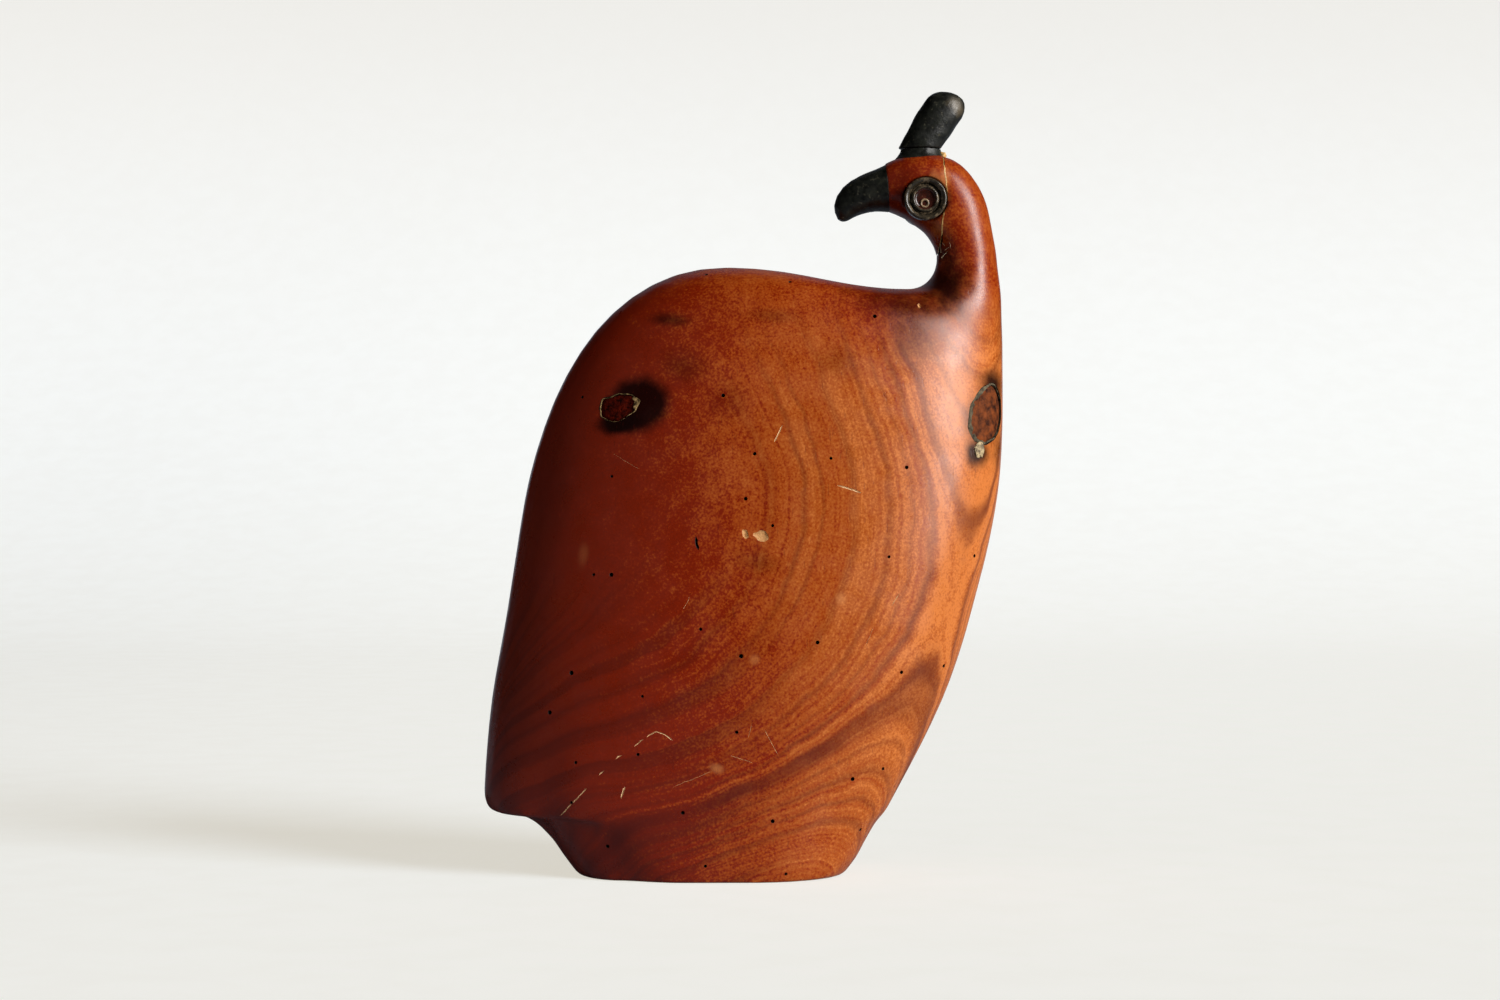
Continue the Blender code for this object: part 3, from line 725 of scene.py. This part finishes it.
def makeGlueBead():
    # the lump squeezed out at the crown, in a few fused drops
    tree = surfaceTree(glue)
    behind, above = beadShape["middle"]
    spread = beadShape["spread"]
    bm = bmesh.new()
    for along, aside, size in beadShape["blobs"]:
        x = eyeCentre.x + (behind + spread * along) * mm
        place = tree.ray_cast(Vector((x, aside * mm, 0.2)), Vector((0, 0, -1)))[0]
        if place is None:
            place = tree.find_nearest(Vector((x, aside * mm, eyeCentre.z + above * mm)))[0]
        place += Vector((along * spread, 0, beadShape["lift"])) * mm
        matrix = Matrix.Translation(place)
        bmesh.ops.create_icosphere(bm, subdivisions=3, radius=size * mm, matrix=matrix)
    bead = newObject("glueBead", bm)
    remesh(bead, beadShape["voxel"])
    smooth(bead, 3)
    roughen(bead, *beadShape["lumps"])
    coat(bead, oldGlue)
    finishPiece(bead, "old_glue")


makeGlueBead()


tear = {
    "off": (3.6, 2, -11.4),  # from the eye, in mm
    "reach": 4.2 * mm,
    "depth": 0.55 * mm,
    "size": 0.75 * mm,
    "sunk": 0.35,
}
throat = eyeCentre + Vector(tear["off"]) * mm


def tornDepth(place):
    # torn fibres where the break runs out
    share = 1 - (place - throat).length / tear["reach"]
    if share <= 0:
        return 0.0
    torn = noise.noise(place / tear["size"]) + 0.5 * noise.noise(place / tear["size"] * 2.3)
    return min(1, 2 * share) * tear["depth"] * (torn - tear["sunk"])


for piece in (head, body):
    pushOut(piece, tornDepth)

splinters = {
    "each": (  # offsets from the throat in mm: along, up, length, turn, thickness
        (-0.6, 1.6, 2.4, 0.9, 0.10), (0.9, 1.1, 2.0, 2.3, 0.09), (1.5, 0.2, 1.7, 0.4, 0.10),
        (0.2, 0.4, 2.2, 1.2, 0.11), (-0.3, -0.8, 1.6, 1.9, 0.09), (0.9, -1.2, 2.0, 0.8, 0.10),
        (2.2, 0.9, 1.2, 1.5, 0.08), (-0.9, -2.2, 1.5, 1.3, 0.10),
    ),
    "taper": 0.3,
    "lift": 0.06 * mm,
    "lean": math.radians(82),
}


def makeSplinters():
    tree = surfaceTree(body)
    bm = bmesh.new()
    for along, up, length, turn, thick in splinters["each"]:
        place, normal = onFlank(tree, throat.x + along * mm, throat.z + up * mm)
        if place is None:
            continue
        made = bmesh.ops.create_cone(
            bm, cap_ends=True, segments=6, depth=length * mm,
            radius1=thick * mm, radius2=splinters["taper"] * thick * mm,
        )["verts"]
        lean = Matrix.Rotation(turn, 4, "Z") @ Matrix.Rotation(splinters["lean"], 4, "Y")
        lifted = facing(place, normal) @ Matrix.Translation((0, 0, splinters["lift"]))
        bmesh.ops.transform(bm, verts=made, matrix=lifted @ lean)
    finishPiece(newObject("tornFibres", bm, paleFibre), "oiled_wood", sharpAngle=None)


makeSplinters()

tree = surfaceTree(body)
pinHoles = {
    "radius": 0.46 * mm,
    "depth": 1.6 * mm,
    "near": (  # x, z on the wing side, in mm
        (-1, 137), (18, 135), (37, 127), (-29, 109), (3, 109), (10, 96), (27, 95), (44, 93), (-22, 91),
        (8, 86), (14, 80), (40, 73), (60, 73), (-22, 69), (-26, 69), (-2, 57), (24, 54), (7, 51), (53, 48),
        (43, 47), (-31, 47), (-15, 42), (-36, 38), (6, 34), (-16, 29), (-30, 27), (39, 25), (32, 23),
        (-31, 18), (-6, 16), (14, 14), (34, 11), (-23, 8), (-1, 4), (17, 2),
    ),
    "far": 34,
    "farAcross": (-48, 62),
    "farUp": (5, 136),
    "nearSpread": (0.8, 1.2),
    "farSpread": (0.8, 1.3),
    "taper": 0.8,
    "standOut": 0.3 * mm,
}
marks = {
    "chips": (  # side, x, z, half width, half height, depth, turn
        (-1, 7.9, 78.2, 0.8, 1.3, 0.22, 0.3), (-1, 11.4, 77.7, 2.1, 1.4, 0.30, -0.3),
        (-1, 47.2, 129.6, 0.4, 0.9, 0.25, 0.0), (1, -14, 70, 1.6, 1.1, 0.25, 0.5),
        (1, 22, 44, 0.9, 1.4, 0.25, 0.2), (1, 34, 96, 0.7, 0.7, 0.2, 0),
    ),
    "slots": (((-3.1, 77.6), (-2.9, 75.9), (-2.5, 74.6)),),  # a deep nick with near-black walls: painted shade
    "slotCut": (0.75, 0.9),  # width and depth, in mm
    "scratchCut": (1.3, 0.6),  # width and depth, as shares of the scratch's own width
    "step": 0.7,
    "wobble": 0.12,
    "standOut": 0.15,
    "endFade": 0.35,
    "scratches": (  # x, z along each, with the width last, in mm
        (((16.2, 102.4), (15.2, 100.2), (14.4, 98.6)), 0.38),
        (((28.4, 88.9), (30.6, 88.4), (33.8, 87.3)), 0.42),
        (((-8.3, 32.2), (-9.8, 33.4), (-11.9, 34.2), (-14.1, 32.9)), 0.34),
        (((-14.8, 32.4), (-16.8, 30.8)), 0.34),
        (((-19.6, 28.9), (-21.0, 28.0)), 0.4),
        (((-23.6, 25.3), (-24.8, 24.2)), 0.35),
        (((-27.6, 21.3), (-28.6, 20.1), (-31.0, 17.6), (-33.6, 14.8)), 0.32),
        (((-21.8, 96.2), (-18.6, 94.2), (-15.8, 92.6)), 0.12),
        (((9.4, 36.0), (8.6, 32.6)), 0.18),
        (((12.2, 34.6), (15.2, 28.8)), 0.18),
        (((4.6, 28.8), (9.6, 27.2)), 0.16),
        (((0.8, 25.4), (-8.2, 21.8)), 0.14),
        (((40.6, 62.0), (42.4, 64.8)), 0.26),
        (((34.8, 53.2), (36.6, 57.4)), 0.18),
        (((-5.8, 61.4), (-4.2, 64.8)), 0.16),
        (((-18.9, 21.8), (-19.8, 19.2)), 0.5),
    ),
}


def addPin(bm, place, normal, spread):
    radius = pinHoles["radius"] * rng.uniform(*spread)
    depth = pinHoles["depth"]
    matrix = facing(place, normal) @ Matrix.Translation((0, 0, -depth / 2 + pinHoles["standOut"]))
    bmesh.ops.create_cone(
        bm, cap_ends=True, segments=10, depth=depth, matrix=matrix,
        radius1=pinHoles["taper"] * radius, radius2=radius,
    )


def addChip(bm, side, x, z, wide, tall, deep, turn):
    # a shallow scoop: a flat lens let into the surface, with an uneven edge
    place, normal = onFlank(tree, x * mm, z * mm, side)
    made = bmesh.ops.create_uvsphere(bm, u_segments=20, v_segments=10, radius=1)["verts"]
    size = Matrix.Diagonal((wide * mm, tall * mm, 2 * deep * mm, 1))
    for vert in made:
        vert.co *= 1 + 0.28 * noise.noise(vert.co * 1.7 + Vector((x, 0, z)))
    matrix = facing(place, normal, turn) @ Matrix.Translation((0, 0, deep * mm)) @ size
    bmesh.ops.transform(bm, matrix=matrix, verts=made)


def addGroove(bm, side, line, width, depth):
    # a three-sided bar along the surface, its lower edge sunk
    stations = []
    for (x0, z0), (x1, z1) in zip(line, line[1:]):
        count = max(1, round(math.hypot(x1 - x0, z1 - z0) / marks["step"]))
        for i in range(count):
            stations.append((x0 + (x1 - x0) * i / count, z0 + (z1 - z0) * i / count))
    stations.append(line[-1])
    loops = []
    previous = None
    for index, (x, z) in enumerate(stations):
        wobble = marks["wobble"] * noise.noise(Vector((x * 1.3, z * 1.3, 4)))
        place, normal = onFlank(tree, (x + wobble) * mm, (z - wobble) * mm, side)
        ahead = stations[min(index + 1, len(stations) - 1)]
        behind = stations[max(index - 1, 0)]
        along = Vector((ahead[0] - behind[0], 0, ahead[1] - behind[1])).normalized()
        aside = along.cross(normal).normalized()
        fade = marks["endFade"] if index in (0, len(stations) - 1) else 1.0
        half = fade * width * mm * (0.5 + 0.2 * noise.noise(Vector((x * 2, z * 2, 0))))
        above = place + normal * marks["standOut"] * mm
        corners = (above + aside * half, above - aside * half, place - normal * depth * fade * mm)
        verts = [bm.verts.new(corner) for corner in corners]
        edges = [bm.edges.new(pair) for pair in zip(verts, verts[1:] + verts[:1])]
        loops.append(edges)
        if previous:
            bmesh.ops.bridge_loops(bm, edges=previous + edges)
        previous = edges
    for ends in (loops[0], loops[-1]):
        bmesh.ops.edgeloop_fill(bm, edges=ends)


def cutAway(bm, material):
    carve(body, "DIFFERENCE", newClosed("wear", bm, material))


bm = bmesh.new()
rng = random.Random(7)
for x, z in pinHoles["near"]:
    place, normal = onFlank(tree, x * mm, z * mm)
    if place:
        addPin(bm, place, normal, pinHoles["nearSpread"])
left = pinHoles["far"]
while left:
    x = rng.uniform(*pinHoles["farAcross"])
    z = rng.uniform(*pinHoles["farUp"])
    place, normal = onFlank(tree, x * mm, z * mm, 1)
    if place and normal.y > 0.5:
        addPin(bm, place, normal, pinHoles["farSpread"])
        left -= 1
for line in marks["slots"]:
    addGroove(bm, -1, line, *marks["slotCut"])
cutAway(bm, paintedRecessShade)
print("pin holes bored", len(body.data.polygons))
bm = bmesh.new()
for chip in marks["chips"]:
    addChip(bm, *chip)
cutAway(bm, rawWood)
print("chips cut", len(body.data.polygons))
bm = bmesh.new()
for line, width in marks["scratches"]:
    addGroove(bm, -1, line, *(width * share for share in marks["scratchCut"]))
cutAway(bm, scratchedWood)
print("scratches cut", len(body.data.polygons))

knotShape = {
    "socketWider": 1.02,
    "bed": 0.8,  # the socket's mouth stands this far out, in mm
    "socketDepth": 2.2 * mm,
    "coreDepth": 0.9 * mm,
    "barkDepth": 0.7 * mm,
    "overlap": 0.08,
    "thinnest": 0.03,
    "tipSpread": 0.45,
}
wingKnot = {
    "outline": (  # x and z round the middle, in mm
        (4.8, 1.5), (3.4, 2.5), (0.6, 3.1), (-2.1, 2.6), (-4.8, 1.6), (-4.7, -1.7), (-3.2, -2.8),
        (-1.7, -3.3), (0.2, -3.0), (2.2, -2.0), (4.2, -0.2),
    ),
    "barkWidth": 0.085,
    "barkTip": (0.25, 0.22),  # where the bark bulges, as an angle, and how much it adds
    "barkSide": (0.1, 0.45),  # where the bark is widest, and how much of it is lost opposite
}
breastKnot = {
    "outline": (
        (6.4, 0.8), (5.6, 4.8), (2.6, 7.2), (-1.0, 6.4), (-4.0, 3.8), (-6.0, 0.5), (-6.2, -3.3),
        (-4.8, -5.9), (-2.2, -6.6), (1.6, -5.8), (4.8, -3.2),
    ),
    "barkWidth": 0.21,
    "barkTip": (1.9, 0.10),
    "barkSide": (3.2, 0.9),
    "outward": (0.76, -0.65, 0.05),
    "off": (0.5, 0, -0.3),
}


def polar(reach, angle, z=0):
    return Vector((reach * math.cos(angle), reach * math.sin(angle), z))


def outlineReach(outline, angle):
    # how far the outline lies from its middle in this direction
    corners = sorted((math.atan2(y, x) % (2 * math.pi), math.hypot(x, y)) for x, y in outline)
    corners = [(corners[-1][0] - 2 * math.pi, corners[-1][1])] + corners
    corners.append((corners[1][0] + 2 * math.pi, corners[1][1]))
    for (a, near), (b, far) in zip(corners, corners[1:]):
        if a <= angle <= b:
            share = (angle - a) / max(b - a, 1e-6)
            share = share * share * (3 - 2 * share)
            return near + (far - near) * share
    return corners[0][1]


def knotSurface(bm, shape, matrix, skin, height):
    # lays a unit disc over the body inside the outline, lifted by height(share, angle)
    normal = (matrix.to_3x3() @ Vector((0, 0, 1))).normalized()
    for vert in bm.verts:
        share = vert.co.xy.length
        angle = math.atan2(vert.co.y, vert.co.x) % (2 * math.pi)
        reach = share * outlineReach(shape["outline"], angle) * mm
        reach *= 1 + 0.05 * noise.noise(polar(3, angle, 2))
        flat = matrix @ polar(reach, angle)
        place, _, _, _ = skin.ray_cast(flat + normal * 5 * mm, -normal, 12 * mm)
        vert.co = (place or flat) + normal * height(share, angle) * mm


def closeBelow(bm, matrix, depth):
    # walls down from the open edges and a floor across
    down = matrix.to_3x3() @ Vector((0, 0, -depth))
    rim = [edge for edge in bm.edges if edge.is_boundary]
    bmesh.ops.translate(bm, verts=newPoints(bmesh.ops.extrude_edge_only(bm, edges=rim)), vec=down)
    bmesh.ops.holes_fill(bm, edges=[edge for edge in bm.edges if edge.is_boundary])
    bmesh.ops.recalc_face_normals(bm, faces=bm.faces)


def discOf(bands, segments):
    # a unit disc in bands of faces, with a fan in the middle
    bm = bmesh.new()
    bmesh.ops.create_circle(bm, cap_ends=True, radius=1, segments=segments)
    for _ in range(bands - 1):
        middle = max(bm.faces, key=lambda face: len(face.verts))
        bmesh.ops.inset_individual(bm, faces=[middle], thickness=1.0 / bands, use_even_offset=False)
    middle = max(bm.faces, key=lambda face: len(face.verts))
    bmesh.ops.poke(bm, faces=[middle])
    return bm


def makeKnot(name, nodeName, shape, centre, normal, skin, coreMaterial, barkMaterial):
    matrix = facing(centre, normal)
    socket = discOf(3, 48)
    wider = matrix @ Matrix.Diagonal((knotShape["socketWider"], knotShape["socketWider"], 1, 1))
    knotSurface(socket, shape, wider, skin, lambda share, angle: knotShape["bed"])
    closeBelow(socket, matrix, knotShape["socketDepth"])
    carve(body, "DIFFERENCE", newObject("socket", socket, paintedRecessShade))

    def coreHeight(share, angle):
        spot = polar(share, angle)
        rough = 0.12 * noise.noise(spot * 3.1) + 0.07 * noise.noise(spot * 7.3 + Vector((4, 0, 0)))
        ringed = 0.03 * math.sin(share * 26 + 2 * noise.noise(spot * 2))
        return -0.3 + 0.16 * (1 - share) + rough + ringed - 0.45 * max(0, share - 0.86) / 0.14

    core = discOf(30, 96)
    knotSurface(core, shape, matrix, skin, coreHeight)
    closeBelow(core, matrix, knotShape["coreDepth"])
    finishPiece(newObject(name + "Core", core, coreMaterial), "knot", nodeName, sharpAngle=50)

    tipAngle, tipSize = shape["barkTip"]
    sideAngle, lost = shape["barkSide"]
    bark = discOf(24, 96)
    inner = 1 - shape["barkWidth"] - knotShape["overlap"]
    middle = [vert for vert in bark.verts if vert.co.xy.length < inner - tipSize]
    bmesh.ops.delete(bark, geom=middle, context="VERTS")
    for vert in bark.verts:
        # squeeze the kept rings into the bark's own width
        angle = math.atan2(vert.co.y, vert.co.x)
        away = abs((angle - tipAngle + math.pi) % (2 * math.pi) - math.pi)
        width = shape["barkWidth"] * (0.75 + 0.7 * noise.noise(Vector((angle * 2.2, 1, 5))))
        width += tipSize * max(0.0, 1 - (away / knotShape["tipSpread"]) ** 2)
        width *= 1 - lost * (0.5 - 0.5 * math.cos(angle - sideAngle))
        share = (1 - vert.co.xy.length) / (1 - inner + tipSize)
        vert.co = vert.co.normalized() * (1.0 - max(width, knotShape["thinnest"]) * share)

    def barkHeight(share, angle):
        spot = polar(share, angle, 1)
        broken = max(0.0, noise.noise(polar(1, angle) * 4.5)) * 0.9
        return 0.06 - broken + 0.16 * noise.noise(spot * 9) - 0.1 * max(0, share - 0.97) / 0.03

    knotSurface(bark, shape, matrix, skin, barkHeight)
    closeBelow(bark, matrix, knotShape["barkDepth"])
    barkObject = newObject(name + "Bark", bark, barkMaterial)
    finishPiece(barkObject, "bark", nodeName + "_bark", sharpAngle=50)


wingMiddle = middleOf("wing_knot")
place, normal = onFlank(tree, wingMiddle.x, wingMiddle.z)
makeKnot("wingKnot", "wing_knot", wingKnot, place, normal, tree, darkKnot, dryBark)
breastOut = Vector(breastKnot["outward"]).normalized()
breastMiddle = middleOf("breast_knot_bark") + Vector(breastKnot["off"]) * mm
place = tree.ray_cast(breastMiddle + breastOut * 30 * mm, -breastOut)[0]
makeKnot("breastKnot", "breast_knot", breastKnot, place, breastOut, tree, redKnot, greyBark)

pitchShape = {
    "rough": 0.22,
    "half": (1.5, 1.75, 0.55),  # in mm, the last one outward
}
place, normal, _, _ = tree.find_nearest(middleOf("pitch_plug"))
bm = bmesh.new()
bmesh.ops.create_icosphere(bm, subdivisions=5, radius=1)
for vert in bm.verts:
    rough = noise.noise(vert.co * 1.6) + 0.6 * noise.noise(vert.co * 4.1)
    vert.co *= 1 + pitchShape["rough"] * rough
size = Matrix.Diagonal((*(Vector(pitchShape["half"]) * mm), 1))
bmesh.ops.transform(bm, verts=bm.verts, matrix=facing(place, normal) @ size)
finishPiece(newObject("pitchBlob", bm, hardPitch), "pitch", "pitch_plug")
print("knots made")

finishPiece(body, "oiled_wood", "body", sharpAngle=50)
finishPiece(head, "oiled_wood", "head_front", sharpAngle=50)
finishPiece(glue, "old_glue", "head_glue", sharpAngle=50)

blackShape = {
    "voxel": 0.2 * mm,
    "whittle": 0.12 * mm,
    "whittleSize": 3.5 * mm,
    "plumeSwell": 0.05 * mm,
    "beakBack": 0.2,  # in mm, how far the beak's tip and its root are moved back
    "beakLonger": 0.6,
}


def refine(name, nodeName, swellBy=0.0):
    obj = newObject(name, newBmesh(nodeName))
    remesh(obj, blackShape["voxel"])
    if swellBy:
        swell(obj, swellBy)
    smooth(obj, 2)
    roughen(obj, blackShape["whittle"], blackShape["whittleSize"], len(name))
    coat(obj, blackWood)
    return obj


beak = refine("beakCarving", "beak")
beakLow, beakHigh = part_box("beak")
for vert in beak.data.vertices:
    # drawn out at the back, into the face
    along = (vert.co.x - beakLow.x) / (beakHigh.x - beakLow.x)
    vert.co.x += (blackShape["beakBack"] + blackShape["beakLonger"] * along) * mm
plume = refine("plume", "topknot", blackShape["plumeSwell"])

collarShape = {
    "top": (48.4, 166.6, 4.6, 3.9),  # middle x, z, half length, half width
    "foot": (47.7, 5.9, 4.9),  # middle x, half length, half width
    "sink": 0.25 * mm,
    "flare": 2.2,
    "rough": (0.1 * mm, 1.2 * mm, 3),  # height, size and seed
}


def makeCollar():
    # a skirt that spreads from the plume's foot over the crown
    skins = [surfaceTree(head), surfaceTree(body)]
    bm = bmesh.new()
    bmesh.ops.create_circle(bm, cap_ends=True, radius=1, segments=96)
    upper = newPoints(bmesh.ops.extrude_face_region(bm, geom=bm.faces[:]))
    bmesh.ops.translate(bm, verts=upper, vec=(0, 0, 1))
    sides = [edge for edge in bm.edges if abs(edge.verts[0].co.z - edge.verts[1].co.z) > 0.5]
    bmesh.ops.subdivide_edges(bm, edges=sides, cuts=9, use_grid_fill=False)
    topX, topZ, topLong, topWide = collarShape["top"]
    footX, footLong, footWide = collarShape["foot"]
    for vert in bm.verts:
        share = vert.co.z
        flare = (1 - share) ** collarShape["flare"]
        x = (topX + (footX - topX) * flare + vert.co.x * (topLong + (footLong - topLong) * flare)) * mm
        y = vert.co.y * (topWide + (footWide - topWide) * flare) * mm
        drops = [skin.ray_cast(Vector((x, y, 0.2)), Vector((0, 0, -1)))[0] for skin in skins]
        foot = max(drop.z for drop in drops if drop) - collarShape["sink"]
        vert.co = Vector((x, y, foot + (topZ * mm - foot) * share))
    obj = newClosed("plumeCollar", bm, blackWood)
    roughen(obj, *collarShape["rough"])
    return obj


collar = makeCollar()
finishPiece(beak, "black_wood", "beak")
finishPiece(plume, "black_wood", "topknot")
finishPiece(collar, "black_wood", "topknot_collar")
print("beak and plume made")

eyeShape = {
    "steps": 72,
    "ring": (  # radius, height above the head, in mm, from the outer foot to the inner foot
        (4.86, -2.2), (4.88, 0.15), (4.84, 0.5), (4.72, 0.7), (4.52, 0.76), (4.25, 0.66),
        (3.95, 0.42), (3.72, 0.1), (3.6, -0.3), (3.56, -2.2),
    ),
    "boss": (
        (3.5, -2.2), (3.46, -0.45), (3.15, -0.4), (3.04, 0.1), (2.9, 0.36), (2.7, 0.42), (2.52, 0.34),
        (2.42, 0.1), (2.3, -0.12), (1.9, -0.24), (1.3, -0.26), (0.0, -0.26),
    ),
    "pupil": (
        (1.06, -1.2), (1.06, -0.12), (1.0, 0.02), (0.86, 0.08), (0.7, 0.02), (0.6, -0.14), (0.48, -0.5),
        (0.0, -0.55),
    ),
    "pupilOff": (-0.15 * mm, -1.0 * mm),
    "dish": 2.36 * mm,  # the red dish reaches this far out
    "sunk": 0.76 * mm,  # from the ring's top down to the head
    "wear": 0.09 * mm,
    "wearSize": 1.1 * mm,
}


def turned(name, profile, matrix, material):
    # a profile spun about +Z: a solid if it ends on the axis, or else a ring
    bm = bmesh.new()
    verts = [bm.verts.new((radius * mm, 0, height * mm)) for radius, height in profile]
    if profile[-1][0] == 0:
        verts.append(bm.verts.new((0, 0, profile[0][1] * mm)))
    edges = [bm.edges.new(pair) for pair in zip(verts, verts[1:] + verts[:1])]
    bmesh.ops.spin(
        bm, geom=verts + edges, cent=(0, 0, 0), axis=(0, 0, 1),
        angle=2 * math.pi, steps=eyeShape["steps"], use_merge=True,
    )
    bmesh.ops.remove_doubles(bm, verts=bm.verts, dist=1e-6)
    bmesh.ops.delete(bm, geom=[edge for edge in bm.edges if not edge.link_faces], context="EDGES")
    for vert in bm.verts:
        # worn unevenly
        vert.co.z += eyeShape["wear"] * noise.noise(vert.co / eyeShape["wearSize"])
    bmesh.ops.transform(bm, matrix=matrix, verts=bm.verts)
    return newClosed(name, bm, material)


def makeEye(side, prefix, nodePrefix):
    low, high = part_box(nodePrefix + "_ring")
    face = side * (max(abs(low.y), abs(high.y)) - eyeShape["sunk"])
    middle = middleOf(nodePrefix + "_ring")
    centre = Vector((middle.x, face, middle.z))
    frameHere = facing(centre, Vector((0, side, 0)))
    ring = turned(prefix + "Ring", eyeShape["ring"], frameHere, rimHorn)
    boss = turned(prefix + "Iris", eyeShape["boss"], frameHere, redHorn)
    boss.data.materials.append(rimHorn)
    for polygon in boss.data.polygons:
        off = polygon.center - centre
        if math.hypot(off.x, off.z) > eyeShape["dish"]:
            polygon.material_index = 1
    offX, offZ = eyeShape["pupilOff"]
    shifted = Matrix.Translation((offX, 0, offZ)) @ frameHere
    pupil = turned(prefix + "Pupil", eyeShape["pupil"], shifted, pupilHorn)
    finishPiece(ring, "eye_ring", nodePrefix + "_ring")
    finishPiece(boss, "eye_iris", nodePrefix + "_iris")
    finishPiece(pupil, "eye_pupil", nodePrefix + "_pupil")


makeEye(-1, "leftEye", "left_eye")
makeEye(1, "rightEye", "right_eye")
print("eyes made")

studio = {
    "paper": (0.31, 0.365, 0.44),
    "paperFar": (0.142, 0.158, 0.195),
    "paperShade": 0.085,  # how much painted shadow dims the far left of the paper
    "paperGlow": 1.0,  # the paper is seen brighter than the light it sends back
    "glowColour": (0.665, 0.633, 0.555),
    "eye": (0.00895, -0.65, 0.0857),  # where the camera stands, level
    "lens": 67.5,
    "lights": (  # name, the way towards it, strength, spread in degrees, and whether it is mirrored
        ("lowerPane", (0.78, -0.52, 0.13), 2.65, 28, True),
        ("upperPane", (0.76, -0.52, 0.46), 2.65, 28, True),
        ("paleWall", (-0.66, -0.68, 0.30), 0.5, 80, False),
    ),
    "roomDark": 0.055,
    "roomBright": 0.45,
    "roomLeft": 0.7,
    "roomSeen": 0.86,
    "windowWay": (0.95, 0.05, 0.3),
    "lightColour": (1.0, 0.985, 0.96),
    "paperFront": -0.24,
    "paperBend": 0.9,  # where the paper starts to turn up
    "paperRadius": 1.1,
    "paperTop": 3.0,
    "paperHalf": 0.95,
}


def cameraRay(tree):
    return nodeOf(tree, "ShaderNodeLightPath").outputs["Is Camera Ray"]


def makeStage():
    # paper that runs from the table up the wall in one curve
    material, tree, shader, coords = newMaterial(
        "backdropPaper", 0.95, 0.1, Emission_Color=studio["glowColour"]
    )
    fibre = noiseOf(tree, coords, 60, 3)
    tint = mixed(tree, ranged(tree, fibre, 0.3, 0.7, 0, 0.1), studio["paper"], studio["paperFar"])
    axes = splitOf(tree, coords)
    tint = mixed(tree, ranged(tree, axes["Z"], 0.0, 0.7), tint, studio["paperFar"])
    feed(tree, shader["Base Color"], tint)
    # painted shadow: the paper's glow is weaker towards the far left, low down
    aside = ranged(tree, axes["X"], 0.0, -0.5, 0, studio["paperShade"])
    aside = times(tree, aside, ranged(tree, axes["Z"], 0.5, 0.0))
    glow = times(tree, cameraRay(tree), maths(tree, "SUBTRACT", studio["paperGlow"], aside))
    feed(tree, shader["Emission Strength"], glow)
    bend = studio["paperBend"]
    radius = studio["paperRadius"]
    profile = [(studio["paperFront"], 0.0), (bend, 0.0)]
    for i in range(1, 25):
        turn = math.radians(90 * i / 24)
        profile.append((bend + radius * math.sin(turn), radius - radius * math.cos(turn)))
    profile.append((bend + radius, studio["paperTop"]))
    bm = bmesh.new()
    line = [bm.verts.new((-studio["paperHalf"], y, z)) for y, z in profile]
    edges = [bm.edges.new(pair) for pair in zip(line, line[1:])]
    moved = newPoints(bmesh.ops.extrude_edge_only(bm, edges=edges))
    bmesh.ops.translate(bm, verts=moved, vec=(2 * studio["paperHalf"], 0, 0))
    for face in bm.faces:
        face.smooth = True
    newClosed("backdrop", bm, material)


makeStage()

for lightName, way, strength, spread, mirrored in studio["lights"]:
    light = bpy.data.lights.new(lightName, "SUN")
    light.angle = math.radians(spread)
    light.energy = strength
    light.color = studio["lightColour"]
    lightObject = intoScene(lightName, light)
    lightObject.rotation_euler = Vector(way).to_track_quat("Z", "Y").to_euler()
    lightObject.visible_glossy = mirrored

# a dark room with pale walls aside, and pale all round where it is seen
world = bpy.data.worlds.new("studioRoom")
scene.world = world
world.use_nodes = True
room = world.node_tree
dot = nodeOf(room, "ShaderNodeVectorMath", {"operation": "DOT_PRODUCT"})
feed(room, dot.inputs[0], nodeOf(room, "ShaderNodeTexCoord").outputs["Generated"])
feed(room, dot.inputs[1], studio["windowWay"])
towards = dot.outputs["Value"]
bright = ranged(room, towards, 0.1, 1.0, studio["roomDark"], studio["roomBright"])
pale = ranged(room, towards, -0.35, -1.0, 0.0, studio["roomLeft"])
seen = times(room, cameraRay(room), studio["roomSeen"])
glow = maths(room, "MAXIMUM", maths(room, "ADD", bright, pale), seen)
feed(room, room.nodes["Background"].inputs["Strength"], glow)

cameraData = bpy.data.cameras.new("camera")
cameraData.lens = studio["lens"]
cameraData.clip_start = 0.01
camera = intoScene("camera", cameraData)
camera.location = studio["eye"]
camera.rotation_euler = (math.radians(90), 0, 0)
scene.camera = camera
scene.view_settings.view_transform = "Standard"
